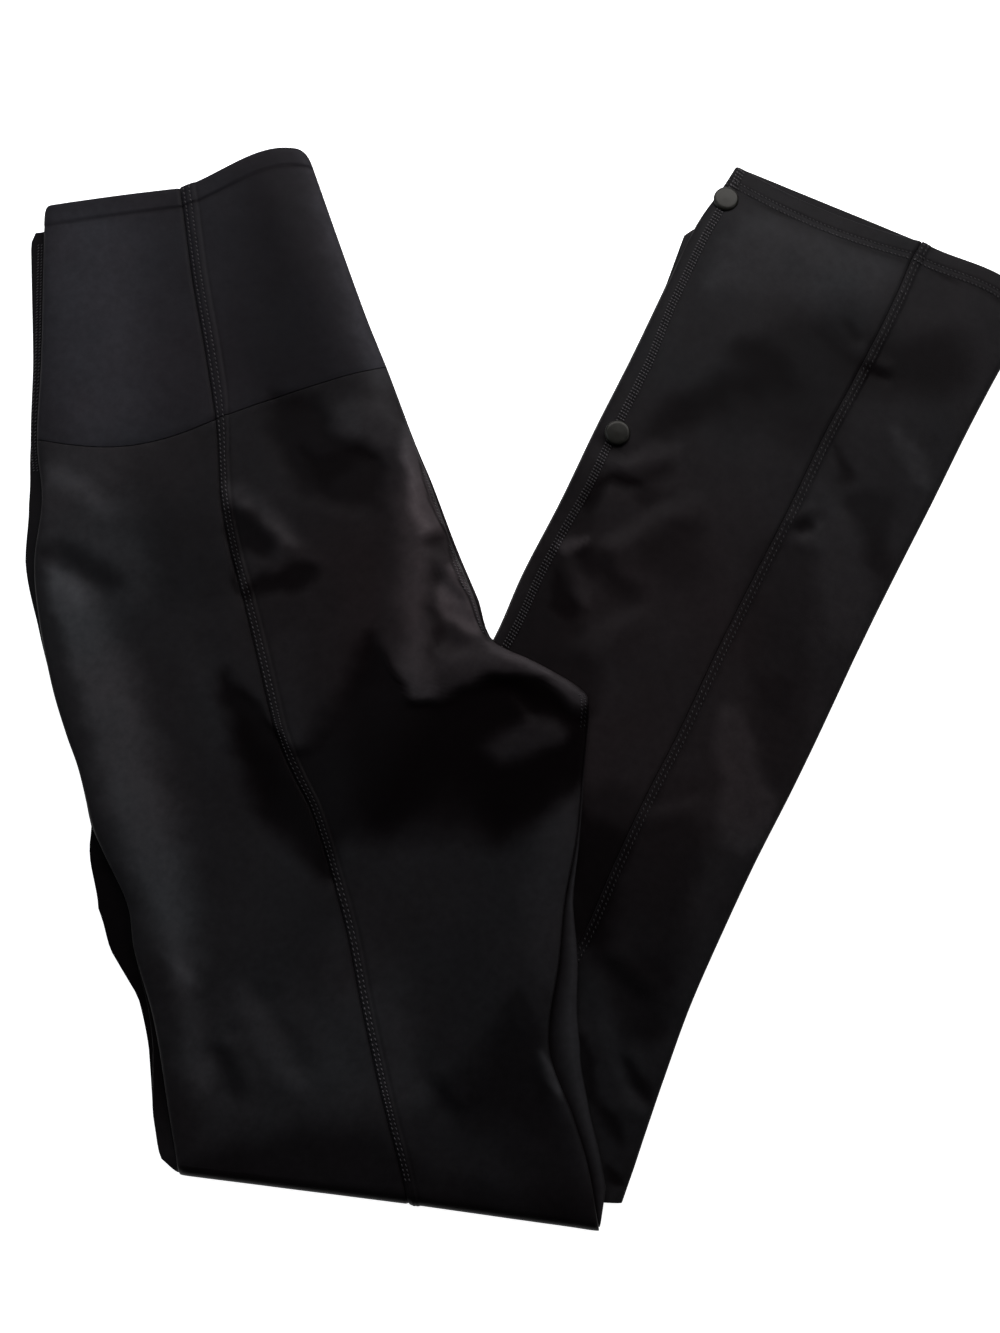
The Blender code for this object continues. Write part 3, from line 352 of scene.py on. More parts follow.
SHIN_ZONES = (
    (0, 0.53, (  # in the thigh's shade
        (37, 100, 3.9), (50, 100, 5.9), (48, 74, 6.9), (40, 34, 5.9), (44, 9, 6.9), (49, -16, 7.8),
        (34, -26, 2.9), (10, -1, 2.5), (-1, 14, 2.5), (10, 34, 2.5), (25, 74, 2.5))),
    (0, 1.87, (  # at the hem, painted highlight
        (125, 236, 7.8), (155, 231, 9.8), (191, 217, 9.8), (206, 204, 9.8), (195, 190, 9.8),
        (154, 190, 9.8), (123, 196, 9.8), (103, 196, 5.9))),
    (0.25, 0.37, (  # dark diagonal 1
        (121, 167, 7.8), (129, 167, 6.9), (141, 162, 7.8), (146, 154, 7.8), (151, 144, 7.8),
        (148, 139, 9.3), (138, 141, 9.8), (128, 142, 11.8), (123, 153, 9.8))),
    (0.3, 0.46, (  # dark diagonal 2
        (87, 133, 9.3), (96, 140, 7.8), (103, 144, 7.8), (113, 147, 9.3), (125, 144, 9.8),
        (128, 139, 9.8), (119, 137, 9.3), (112, 129, 9.3), (103, 126, 7.8), (94, 125, 7.8))),
    (0.25, 0.51, (  # dark diagonal 3
        (75, 118, 7.8), (80, 126, 9.3), (91, 130, 9.3), (97, 124, 7.8), (87, 120, 7.8),
        (78, 116, 5.9))),
    (0.2, 0.53, (  # dip across the calf, painted darker
        (153, 182, 7.8), (169, 178, 7.8), (194, 171, 9.3), (225, 171, 9.3), (237, 161, 9.3),
        (235, 145, 9.3), (218, 136, 9.3), (193, 138, 9.3), (172, 134, 10.8), (171, 116, 10.8),
        (151, 111, 11.8), (131, 124, 11.8), (112, 122, 10.8), (96, 120, 9.3), (78, 116, 7.8),
        (71, 120, 7.8), (87, 135, 7.8), (108, 145, 7.8), (115, 163, 7.8), (133, 170, 7.8))),
    (0.3, 0.59, (  # right of the seam
        (162, 171, 7.8), (172, 168, 7.8), (183, 162, 7.8), (204, 163, 7.8), (219, 168, 9.3),
        (235, 172, 9.8), (238, 162, 9.3), (234, 145, 9.8), (222, 139, 9.3), (210, 143, 9.3),
        (201, 139, 9.3), (187, 143, 9.3), (174, 150, 7.8), (168, 161, 7.8))),
    (0.3, 0.54, (  # dent above the crease
        (175, 178, 2.5), (181, 176, 2.5), (185, 171, 2.0), (182, 168, 2.0), (177, 172, 2.5))),
    (-0.2, 1.52, (  # lit edge of it
        (179, 165, 2.0), (185, 167, 2.0), (188, 162, 2.0), (183, 160, 2.0))),
    (0.2, 0.38, (  # crease at the seam
        (185, 153, 2.9), (193, 150, 2.9), (195, 145, 2.9), (187, 147, 2.9))),
    (0.4, 0.38, (  # dent at the seam
        (169, 112, 2.9), (174, 106, 2.9), (177, 95, 2.9), (174, 91, 2.9), (170, 97, 2.9))),
    (0.4, 0.48, (  # dimple
        (146, 74, 2.0), (151, 76, 2.0), (157, 74, 2.0), (158, 69, 2.0), (154, 68, 1.5),
        (149, 70, 1.5))),
    (-0.3, 1.15, (  # light under the dimple
        (149, 64, 2.0), (155, 66, 2.0), (160, 64, 2.0), (162, 58, 2.5), (157, 56, 2.5),
        (152, 59, 2.0))),
    (0.5, 0.29, (  # under the stud
        (51, 118, 2.0), (62, 116, 2.5), (63, 111, 2.5), (55, 110, 2.0), (50, 114, 2.0))),
    (-0.5, 1.27, (  # light ridge 1
        (48, 106, 2.5), (60, 104, 2.5), (71, 110, 2.9), (83, 114, 2.9), (92, 113, 2.9),
        (87, 107, 2.9), (75, 104, 2.9), (65, 101, 2.5), (52, 103, 2.5))),
    (0.5, 0.16, (  # hollow 1
        (41, 84, 4.4), (46, 91, 3.9), (51, 96, 2.0), (60, 98, 2.5), (68, 96, 2.5), (71, 93, 2.9),
        (65, 90, 2.5), (58, 91, 2.0), (53, 89, 2.5), (48, 84, 4.4), (44, 79, 4.4))),
    (0.4, 0.63, (  # hollow 1, right
        (70, 97, 2.9), (81, 102, 3.4), (89, 102, 3.4), (84, 95, 3.4), (76, 91, 3.4), (81, 86, 3.9),
        (75, 81, 3.9), (68, 85, 3.4))),
    (-0.5, 1, (  # light ridge 2
        (52, 62, 2.9), (60, 69, 3.9), (75, 77, 3.9), (90, 84, 4.4), (100, 85, 4.4), (95, 74, 4.4),
        (80, 73, 3.9), (72, 67, 3.4), (64, 59, 2.9), (56, 58, 2.9))),
    (-0.3, 4.34, (  # light ridge 2, edge
        (28, 63, 2.9), (37, 66, 2.9), (45, 64, 2.9), (41, 60, 2.9), (31, 58, 2.5))),
    (0.4, 0.4, (  # hollow 2
        (34, 56, 3.4), (42, 59, 3.4), (51, 59, 3.9), (57, 55, 4.9), (56, 48, 5.9), (63, 42, 7.8),
        (69, 39, 8.8), (64, 33, 8.8), (56, 37, 7.8), (49, 44, 4.9), (42, 48, 3.9))),
    (-0.3, 1.66, (  # light between the hollows
        (31, 58, 2.0), (36, 57, 2.0), (40, 49, 2.0), (45, 38, 2.5), (44, 31, 2.5), (39, 33, 2.0),
        (36, 42, 2.0), (33, 51, 2.0))),
    (0.2, 0.57, (  # hollow 2, upper
        (70, 60, 5.9), (76, 69, 4.9), (86, 74, 4.9), (100, 75, 5.9), (104, 68, 5.9),
        (100, 58, 8.8), (102, 44, 10.8), (87, 39, 10.8), (77, 46, 8.8), (72, 51, 6.9))),
    (0.4, 0.4, (  # pocket at the edge
        (26, 49, 2.9), (31, 44, 2.5), (36, 35, 2.9), (38, 28, 2.9), (32, 24, 2.9), (26, 29, 2.9))),
    (0.3, 0.76, (  # dip beside the seam, painted darker
        (131, 63, 4.9), (144, 64, 4.9), (155, 54, 3.9), (152, 24, 4.9), (152, -6, 4.9),
        (150, -31, 4.9), (145, -50, 2.9), (137, -61, 2.9), (130, -53, 4.9), (125, -28, 4.9),
        (120, -1, 4.9), (118, 29, 5.9), (122, 49, 5.9))),
    (-0.5, 1.36, (  # swell beside it
        (154, 89, 3.9), (161, 95, 4.9), (168, 85, 4.9), (176, 68, 4.9), (181, 53, 5.9),
        (185, 29, 4.9), (179, 11, 5.9), (164, 10, 5.9), (159, 29, 3.9), (159, 54, 3.9),
        (156, 72, 3.4))),
    (0.4, 0.58, (  # dip at the right, painted darker
        (174, 85, 4.4), (184, 88, 4.9), (196, 87, 4.9), (197, 79, 4.4), (193, 68, 4.4),
        (195, 51, 3.4), (190, 44, 3.9), (183, 54, 4.4), (183, 65, 4.4), (175, 77, 4.4))),
    (-0.4, 1.71, (  # ridge at the right
        (197, 121, 3.4), (205, 120, 3.4), (212, 110, 3.4), (218, 95, 3.4), (214, 89, 3.4),
        (206, 95, 3.9), (200, 107, 3.9))),
    (-0.5, 1.77, (  # swell low
        (107, -22, 3.9), (116, -20, 3.9), (122, -31, 3.9), (125, -48, 4.4), (133, -65, 3.9),
        (130, -85, 3.9), (119, -90, 4.9), (107, -88, 4.9), (105, -75, 4.9), (108, -58, 4.4),
        (104, -40, 3.9))),
    (0.3, 0.76, (  # dip over it, painted darker
        (126, -8, 3.9), (135, -4, 3.9), (143, -11, 4.4), (142, -24, 4.4), (133, -22, 4.4),
        (127, -17, 3.9))),
    (0.4, 0.61, (  # dip towards the knee, painted darker
        (42, -60, 4.9), (61, -60, 6.9), (70, -75, 6.9), (93, -75, 6.9), (98, -89, 6.9),
        (91, -113, 8.8), (88, -136, 8.8), (84, -164, 6.9), (76, -180, 5.9), (61, -180, 6.9),
        (51, -167, 6.9), (43, -153, 6.9), (37, -136, 4.9), (35, -103, 3.9), (38, -75, 3.9))),
    (0.3, 0.35, (  # beside the thigh
        (39, -70, 3.9), (46, -76, 5.9), (59, -79, 6.9), (60, -89, 6.9), (56, -103, 7.8),
        (53, -132, 7.8), (43, -136, 6.9), (35, -127, 3.9), (34, -108, 3.9))),
    (0.3, 0.75, (  # dip towards the knee, lower, painted darker
        (48, -142, 5.9), (67, -140, 5.9), (79, -143, 4.9), (82, -153, 4.9), (76, -160, 4.9),
        (78, -176, 4.9), (69, -178, 4.9), (61, -173, 5.9), (57, -155, 5.9))),
    (0.6, 0.39, (  # knee crease 1
        (39, -175, 2.5), (42, -178, 2.5), (44, -194, 2.5), (48, -205, 2.5), (55, -215, 2.9),
        (58, -224, 2.9), (54, -226, 2.9), (47, -215, 2.9), (41, -201, 2.5), (38, -187, 2.5))),
    (0.6, 0.43, (  # knee crease 2
        (59, -186, 2.9), (63, -188, 2.9), (69, -197, 2.9), (71, -205, 2.5), (68, -208, 2.5),
        (63, -201, 2.9), (59, -194, 2.9))),
    (-0.3, 1.37, (  # ridge between them
        (43, -143, 3.4), (50, -148, 3.4), (53, -164, 3.4), (57, -180, 2.9), (61, -194, 2.5),
        (67, -205, 2.0), (70, -209, 1.5), (69, -214, 2.5), (62, -210, 2.9), (55, -199, 2.9),
        (49, -183, 2.9), (46, -164, 3.4), (41, -153, 3.4))),
    (0.4, 0.26, (  # tip
        (50, -235, 2.0), (55, -238, 2.0), (58, -244, 2.0), (53, -244, 2.0), (49, -240, 2.0))),
)

# ---------------------------------------------------------------- sizes of the dressed cloth (mm)
# Ripples of hand-laid cloth, one broad and one fine: height, size, seed.
THIGH_RIPPLES = ((0.16, 26.0, 1.5), (0.07, 9.0, 4.5))
SHIN_RIPPLES = ((0.14, 24.0, 7.5), (0.06, 9.0, 2.5))
UNDER_RIPPLE = (0.5, 30.0, 5.5)
UNDER_SEAM = (0.4, 1.2)       # depth and half width of the mid seam pressed into the lowest ply
FLOOR_START = 20.0            # the thigh's lowest ply climbs from here, outside the shin's edge
FLOOR_CLIMB = 12.0
FLOOR_LIFT = 0.35             # and ends this much over the shin part
BARE_START = 0.5              # outside the thigh's edge, the shin part is pressed flat up to here
BARE_REACH = 8.0              # and full over this much more
BOW_ROWS = 3.0                # rows over which the bow of the waist and hem fades

# Grooves and ridges are given as depth or height and half width.
SEAM_GROOVE = (0.6, 1.0)      # left of the mid seam
STITCH_DIP = (0.2, 0.45)      # under each stitch row on a welt
WELT_START = (0.2, 0.7)       # where a welt starts to rise, and over how far
WELT_END = (0.4, 1.3)         # the same past its width
WELT_CROWN = 0.2              # extra height along its middle
STITCH_SHARES = (0.24, 0.62)  # where the stitch rows of the mid seam lie across the welt

# Painted shade along edges, seams and welts, given as how much darker, and half width.
EDGE_SHADE = 0.6              # of a cut or folded edge
TOP_EDGE_WIDTH = 0.6
PLY_EDGE_WIDTH = 0.4
THIGH_SEAM_SHADE = 0.55
SHIN_SEAM_SHADE = 0.22
SEAM_SHADE_WIDTH = 1.2
WELT_SHADE = 0.22             # of a welt
WELT_SHADE_END = (0.3, 0.8)   # how far from its end this stops, and how softly
FAR_SHADE = (0.6, 0.7, 0.6)   # share of the seam's shade past the welt, how far past, half width

# row, welt width, welt height
THIGH_WELT = (
    (0.0, 8.3, 0.85),
    (0.6, 7.9, 0.85),
    (3.6, 7.5, 0.8),
    (4.4, 5.2, 0.65),
    (6.0, 5.4, 0.65),
    (8.0, 6.2, 0.7),
    (12.0, 5.6, 0.65),
    (16.0, 4.9, 0.55),
    (20.0, 4.8, 0.5),
)
SHIN_WELT = ((0.0, 5.4, 0.5), (15.0, 5.2, 0.45))
# row, distance of the side seam's middle from the left edge
SIDE_SEAM = (
    (0.0, 3.6),
    (0.9, 4.8),
    (1.8, 6.9),
    (3.3, 6.9),
    (4.0, 9.0),
    (5.7, 9.4),
    (6.3, 8.1),
    (7.4, 8.0),
    (8.5, 6.0),
    (15.0, 5.0),
)
LADDER = (-1.0, 0.0, 1.0)     # the three rows of the side seam
LADDER_GAP = 1.45             # between them
LADDER_RIDGE = (0.16, 0.6)
LADDER_BED = (0.12, 3.6)      # the flat groove that they lie in
# Painted shade along the bed of the side seam's rows.
LADDER_SHADE = 0.3
WAIST_CORNERS = (4.0, 6.0)    # radius of the left and right corner
HEM_CORNERS = (1.5, 2.0)
TURN_ROWS = 2.0               # the turned edges and their stitch rows lie before this row
WAIST_TURN = 10.6             # turned waist edge
WAIST_STEP = (0.22, 0.8)      # height of its step, and how soft that is
WAIST_GROOVE = (0.34, 0.4, 0.65)        # depth, how far past the turn, half width
WAIST_GROOVE_SHADE = (0.4, 0.5, 1.0)
HEM_TURN = 12.4               # turned hem
HEM_STEP = (0.3, 0.9)
HEM_ROWS = (8.4, 11.4)        # stitch rows, from the hem's edge
HEM_DIP = (0.26, 0.6)
HEM_GROOVE_SHADE = (0.55, 0.4, 0.75)
HEM_ROW_SHADE = (0.3, 0.9, 0.7)         # how much darker, how far before the first row, half width
# row, width of the stitched strip that shows along the rise
RISE_STRIP = (
    (5.35, 0.4),
    (5.87, 2.5),
    (6.29, 3.3),
    (6.61, 2.2),
    (6.84, 0.6),
    (7.10, 2.6),
    (7.57, 3.9),
    (7.93, 2.4),
    (8.38, 2.2),
    (9.00, 0.4),
)
RISE_CREASE = (0.4, 0.5)      # depth and half width of the crease that sets the strip off
RISE_CREASE_START = (0.4, 0.8)          # width of strip from which there is one, and how softly
RISE_CREASE_SHADE = 0.75


# ---------------------------------------------------------------- curves and heights
def smooth_rows(table, rows):
    """Values of every column at row numbers between the table's rows, on smooth curves."""
    table = np.asarray(table, float)
    last = len(table) - 1
    rows = np.clip(np.asarray(rows, float), 0.0, last)
    index = np.minimum(rows.astype(int), last - 1)
    f = (rows - index)[..., None]
    before, start = table[np.maximum(index - 1, 0)], table[index]
    end, after = table[index + 1], table[np.minimum(index + 2, last)]
    cubic = 3.0 * start - before - 3.0 * end + after
    square = 2.0 * before - 5.0 * start + 4.0 * end - after
    return 0.5 * (2.0 * start + (end - before) * f + square * f * f + cubic * f ** 3)


def smooth_step(value):
    t = np.clip(value, 0.0, 1.0)
    return t * t * (3.0 - 2.0 * t)


def bell(distance, width, power=2):
    """One at nought, falling away to both sides."""
    return np.exp(-(distance / width) ** power)


def edge_rounding(distance, width, drop):
    """How far a rounded edge stands back: the drop at the edge itself, nought from the width on."""
    t = np.clip(1.0 - distance / width, 0.0, 1.0)
    return drop * (1.0 - np.sqrt(np.maximum(1.0 - t * t, 0.0)))


def distance_to_line(x, y, x0, y0, x1, y1):
    """Distance from points to one straight piece, and how far along it they are."""
    dx, dy = x1 - x0, y1 - y0
    t = np.clip(((x - x0) * dx + (y - y0) * dy) / (dx * dx + dy * dy), 0.0, 1.0)
    return np.hypot(x - x0 - t * dx, y - y0 - t * dy), t


def fold_sum(folds, x, y):
    """Ridges and hollows along straight pieces."""
    total = np.zeros_like(x)
    for x0, y0, x1, y1, start_width, end_width, height in folds:
        distance, along = distance_to_line(x, y, x0, y0, x1, y1)
        total += height * bell(distance, start_width + (end_width - start_width) * along)
    return total


def step_sum(steps, x, y):
    """Soft steps down across lines, fading out round their ends."""
    total = np.zeros_like(x)
    for x0, y0, x1, y1, start_width, end_width, height in steps:
        length = math.hypot(x1 - x0, y1 - y0)
        dx, dy = (x1 - x0) / length, (y1 - y0) / length
        along = (x - x0) * dx + (y - y0) * dy
        width = start_width + (end_width - start_width) * np.clip(along / length, 0.0, 1.0)
        across = ((x - x0) * dy - (y - y0) * dx) / width
        beyond = (np.abs(along - 0.5 * length) - 0.5 * length) / np.minimum(width, FADE_LENGTH)
        fade = np.exp(-np.maximum(beyond + STEP_FADE, 0.0) ** 2)
        total -= height * fade * across * np.exp(0.5 - 0.5 * across * across)
    return total


def zone_share(x, y, corners):
    """How far points lie inside an outline: nought outside, one inside, softly at the edge."""
    share = np.zeros(np.shape(x))
    laps = np.concatenate((corners[-2:], corners, corners[:2]))
    outline = smooth_rows(laps, np.arange(2.0, len(corners) + 2.0, 0.5))
    reach = outline[:, 2].max()
    low, high = outline[:, :2].min(axis=0) - reach, outline[:, :2].max(axis=0) + reach
    near = (x > low[0]) & (x < high[0]) & (y > low[1]) & (y < high[1])
    if not near.any():
        return share
    x, y = x[near], y[near]
    least = np.full(x.shape, 9.0)
    inside = np.zeros(x.shape, bool)
    for (x0, y0, soft0), (x1, y1, soft1) in zip(outline, np.roll(outline, -1, axis=0)):
        distance, along = distance_to_line(x, y, x0, y0, x1, y1)
        least = np.minimum(least, distance / (soft0 + (soft1 - soft0) * along))
        if y0 != y1:
            inside ^= ((y0 > y) != (y1 > y)) & (x < x0 + (x1 - x0) * (y - y0) / (y1 - y0))
    share[near] = smooth_step(0.5 + 0.5 * np.where(inside, least, -least))
    return share


def uneven(x, y):
    """Shifts points by up to about 1.4 mm to and fro, so that the outlines of zones waver."""
    return (x + 0.9 * np.sin(y / 4.3 + 1.7 * np.sin(x / 9.0)) + 0.5 * np.sin(y / 1.9 + x / 5.0),
            y + 0.9 * np.sin(x / 4.7 + 1.5 * np.sin(y / 8.0)) + 0.5 * np.sin(x / 2.1 - y / 6.0))


def zone_depth(zones, x, y):
    x, y = uneven(x, y)
    return -sum(depth * zone_share(x, y, corners) for depth, _, corners in zones if depth)


def zone_painted_light(zones, x, y):
    """Painted shade (below one) and painted highlight (above one) from the zones' tones, as a scale
    on the cloth's colour.
    """
    tone = np.ones(np.shape(x))
    x, y = uneven(x, y)
    for _, change, corners in zones:
        tone *= change ** zone_share(x, y, corners)
    return tone


def signed_distance(x, y, line):
    """Distance from a line of points: positive to its right, walking along it."""
    best = np.full(np.shape(x), 1e9)
    signed = np.full(np.shape(x), 1e9)
    for (x0, y0), (x1, y1) in zip(line[:-1], line[1:]):
        distance, _ = distance_to_line(x, y, x0, y0, x1, y1)
        cross = (x1 - x0) * (y - y0) - (y1 - y0) * (x - x0)
        nearer = distance < best
        best = np.where(nearer, distance, best)
        signed = np.where(nearer, np.where(cross < 0.0, distance, -distance), signed)
    return signed


def reach_at(table, row):
    rows = np.asarray(table, float)
    return [float(np.interp(row, rows[:, 0], rows[:, column])) for column in (1, 2, 3, 4)]


SHIN_EDGE = [(row[0], row[1]) for row in SHIN_SECTIONS]
THIGH_EDGE = []
for step in np.arange(7.0, 20.1, 0.5):
    values = smooth_rows(THIGH_SECTIONS, step)
    outward = (values[4:6] - values[2:4]) / np.hypot(*(values[4:6] - values[2:4]))
    THIGH_EDGE.append(tuple(values[4:6] + outward * max(reach_at(THIGH_REACH, step)[2:])))


def outside_shin(x, y):
    return signed_distance(x, y, SHIN_EDGE)


def outside_thigh(x, y):
    return -signed_distance(x, y, THIGH_EDGE)


def ripple(x, y, size, seed):
    """Gentle unevenness of hand-laid cloth, between -1 and 1."""
    flat = [noise.noise(Vector((a / size, b / size, seed)))
            for a, b in zip(np.ravel(x), np.ravel(y))]
    return np.array(flat).reshape(np.shape(x))


def cloth_relief(folds, steps, zones, ripples, x, y):
    """All that is laid or pressed into the cloth, within the most it stands up or goes down."""
    total = fold_sum(folds, x, y) + step_sum(steps, x, y) + zone_depth(zones, x, y)
    broad, fine = (height * ripple(x, y, size, seed) for height, size, seed in ripples)
    total += broad + fine
    return np.where(total > 0.0, FOLD_RISE * np.tanh(total / FOLD_RISE),
                    FOLD_SINK * np.tanh(total / FOLD_SINK))


def thigh_level(x, y):
    rise = smooth_step((STEP_END - outside_shin(x, y)) / (STEP_END - STEP_START))
    return THIGH_STACK + (OVERLAP_STACK - THIGH_STACK) * rise


def thigh_relief(x, y):
    return cloth_relief(THIGH_FOLDS, THIGH_STEPS, THIGH_ZONES, THIGH_RIPPLES, x, y)


def thigh_floor(x, y):
    over = np.clip((FLOOR_START - outside_shin(x, y)) / FLOOR_CLIMB, 0.0, 1.0)
    return over * (SHIN_STACK + FLOOR_LIFT)


def thigh_bare(x, y):
    return 1.0


def shin_level(x, y):
    return np.full_like(x, SHIN_STACK)


def shin_bare(x, y):
    """One where the shin part shows, nought where the thigh part presses it flat."""
    return smooth_step((outside_thigh(x, y) - BARE_START) / BARE_REACH)


def shin_relief(x, y):
    return cloth_relief(SHIN_FOLDS, SHIN_STEPS, SHIN_ZONES, SHIN_RIPPLES, x, y) * shin_bare(x, y)


def shin_floor(x, y):
    return np.zeros_like(x)


# ---------------------------------------------------------------- the two leg parts
class LegPart:
    """One folded length of leg: its sections, heights and seams."""

    def __init__(self, sections, reach, level, relief, floor, bare,
                 bows, corners, welt_rows, zones, seam_shade):
        self.sections = sections
        self.reach = reach
        self.level = level
        self.relief = relief
        self.floor = floor
        self.bare = bare
        self.bows = bows
        self.corners = corners
        self.welt_rows = np.array(welt_rows, float)
        self.zones = zones
        self.seam_shade = seam_shade
        self.last = len(sections) - 1
        self.fine = np.linspace(0.0, self.last, 800)
        values = smooth_rows(sections, self.fine)
        steps = [np.hypot(*np.diff(values[:, c:c + 2], axis=0).T) for c in (0, 2, 4)]
        self.travelled = np.concatenate(([0.0], np.cumsum(sum(steps) / 3.0)))

    def plan(self, rows, side, shares, square=False):
        """Points on the table: side 0 is left edge to mid seam, 1 is mid seam to right edge.

        The end line bows out, and its corners are rounded unless it is asked for square.
        """
        rows, shares = np.broadcast_arrays(np.asarray(rows, float), np.asarray(shares, float))
        values = smooth_rows(self.sections, rows)
        start = values[..., 2 * side:2 * side + 2]
        across = values[..., 2 * side + 2:2 * side + 4] - start
        # each curve is one at its crest, and the right one's crest lies further out
        swell = (6.75 * shares if side == 1 else 4.0) * shares * (1.0 - shares)
        bow = self.bows[side] * np.maximum(0.0, 1.0 - rows / BOW_ROWS) * swell
        up = np.stack((-across[..., 1], across[..., 0]), axis=-1)
        width = np.linalg.norm(across, axis=-1)
        up /= width[..., None]
        if not square:
            from_edge = width * (shares if side == 0 else 1.0 - shares)
            radius = self.corners[side]
            bow = bow - edge_rounding(from_edge, radius, radius) * np.maximum(0.0, 1.0 - rows)
        return start + across * shares[..., None] + up * bow[..., None]

    def widths(self, rows):
        values = smooth_rows(self.sections, rows)
        return [np.hypot(values[..., c + 2] - values[..., c],
                         values[..., c + 3] - values[..., c + 1]) for c in (0, 2)]

    def row_at(self, distance):
        return np.interp(distance, self.travelled, self.fine)

    def travel(self, row):
        return np.interp(row, self.fine, self.travelled)

    def rows(self, first, last, step):
        start, end = self.travel(first), self.travel(last)
        count = max(1, int(round((end - start) / step)))
        return self.row_at(np.linspace(start, end, count + 1))

    def welt(self, rows, column):
        return np.interp(rows, self.welt_rows[:, 0], self.welt_rows[:, column])

    def from_end(self, plan, rows, side, along, width):
        """Distance of points from the waist's or hem's line."""
        start = self.plan(0.0 * rows, side, along / width, square=True)
        return np.hypot(plan[..., 0] - start[..., 0], plan[..., 1] - start[..., 1])

    def surface(self, rows, side, along):
        """Points of the top ply at distances across one panel, with its height."""
        rows, along = np.broadcast_arrays(np.asarray(rows, float), np.asarray(along, float))
        width = self.widths(rows)[side]
        plan = self.plan(rows, side, along / width)
        x, y = plan[..., 0], plan[..., 1]
        from_edge = np.maximum(along if side == 0 else width - along, 0.0)
        height = self.level(x, y) + self.relief(x, y)
        height = np.maximum(height, self.floor(x, y) + LEAST_STACK)
        height -= edge_rounding(from_edge, EDGE_ROUND, EDGE_DROP)
        from_end = self.from_end(plan, rows, side, along, width)
        height -= edge_rounding(from_end, END_ROUND, END_DROP)
        bump = self.seam_form(rows, side, along, width) * self.bare(x, y)
        bump += self.line_form(rows, side, along, from_end)
        return x, y, height, bump

    def seam_form(self, rows, side, along, width):
        """The welt beside the mid seam, and the groove that the seam pulls in."""
        if side == 0:
            return -SEAM_GROOVE[0] * bell(width - along, SEAM_GROOVE[1])
        wide, high = self.welt(rows, 1), self.welt(rows, 2)
        rise = smooth_step((along - WELT_START[0]) / WELT_START[1])
        rise = rise * smooth_step((wide + WELT_END[0] - along) / WELT_END[1])
        turn = np.clip(along / wide, 0.0, 1.0) * math.pi * 2.0 - math.pi
        crown = 1.0 + WELT_CROWN * np.cos(turn)
        dips = sum(STITCH_DIP[0] * bell(along - wide * share, STITCH_DIP[1])
                   for share in STITCH_SHARES)
        return high * rise * crown - dips * (along > 0.3)

    def tone(self, rows, side, along):
        """Scale on the cloth's colour: painted shade and highlight from the zones, and painted shade
        in seams and at edges.
        """
        width = self.widths(rows)[side]
        plan = self.plan(rows, side, along / width)
        from_end = self.from_end(plan, rows, side, along, width)
        from_edge = np.maximum(along if side == 0 else width - along, 0.0)
        tone = zone_painted_light(self.zones, plan[..., 0], plan[..., 1])
        tone *= 1.0 - EDGE_SHADE * bell(from_edge, TOP_EDGE_WIDTH)
        bare = self.bare(*np.moveaxis(plan, -1, 0))
        if side == 0:
            seam = self.seam_shade * bell(width - along, SEAM_SHADE_WIDTH)
        else:
            wide = self.welt(rows, 1)
            share, past, half = FAR_SHADE
            seam = WELT_SHADE * smooth_step((wide - WELT_SHADE_END[0] - along) / WELT_SHADE_END[1])
            seam += share * self.seam_shade * bell(along - wide - past, half)
        return tone * (1.0 - seam * bare) * self.line_tone(rows, side, along, from_end)


class Waist(LegPart):
    """Adds the turned waist edge, and the crease beside the stitched strip along the rise."""

    def rise_crease(self, rows, side, along):
        """One along the crease, nought away from it."""
        if side == 0:
            return np.zeros_like(along)
        strip = np.interp(rows, *np.transpose(RISE_STRIP))
        from_edge = self.widths(rows)[1] - along
        least, soft = RISE_CREASE_START
        return smooth_step((strip - least) / soft) * bell(from_edge - strip, RISE_CREASE[1])

    def line_form(self, rows, side, along, from_end):
        depth, past, half = WAIST_GROOVE
        turned = WAIST_STEP[0] * smooth_step((WAIST_TURN - from_end) / WAIST_STEP[1])
        turned -= depth * bell(from_end - WAIST_TURN - past, half)
        crease = RISE_CREASE[0] * self.rise_crease(rows, side, along)
        return np.where(rows < TURN_ROWS, turned, 0.0) - crease

    # Painted shade in the groove past the turned waist edge, and in the crease beside the rise's
    # strip.
    def line_tone(self, rows, side, along, from_end):
        shade, past, half = WAIST_GROOVE_SHADE
        groove = shade * bell(from_end - WAIST_TURN - past, half)
        crease = RISE_CREASE_SHADE * self.rise_crease(rows, side, along)
        return (1.0 - np.where(rows < TURN_ROWS, groove, 0.0)) * (1.0 - crease)


class Hem(LegPart):
    """Adds the turned hem with its stitch rows pressed in, and the side seam's ridges."""

    def line_form(self, rows, side, along, from_end):
        turned = HEM_STEP[0] * smooth_step((HEM_TURN - from_end) / HEM_STEP[1])
        turned -= sum(HEM_DIP[0] * bell(from_end - row, HEM_DIP[1]) for row in HEM_ROWS)
        form = np.where(rows < TURN_ROWS, turned, 0.0)
        if side == 0:
            middle = self.side_seam(rows)
            ridges = sum(LADDER_RIDGE[0] * bell(along - middle - k * LADDER_GAP, LADDER_RIDGE[1])
                         for k in LADDER)
            form = form + ridges
            form -= LADDER_BED[0] * bell(along - middle, LADDER_BED[1], 6)
        return form

    # Painted shade in the groove past the turned hem, before its first stitch row, and along the
    # side seam's bed.
    def line_tone(self, rows, side, along, from_end):
        shade, past, half = HEM_GROOVE_SHADE
        groove = shade * bell(from_end - HEM_TURN - past, half)
        shade, before, half = HEM_ROW_SHADE
        groove += shade * bell(from_end - HEM_ROWS[0] + before, half)
        tone = 1.0 - np.where(rows < TURN_ROWS, groove, 0.0)
        if side == 0:
            tone *= 1.0 - LADDER_SHADE * bell(along - self.side_seam(rows), 1.5 * LADDER_GAP, 6)
        return tone

    def side_seam(self, rows):
        return np.interp(rows, *np.transpose(SIDE_SEAM))


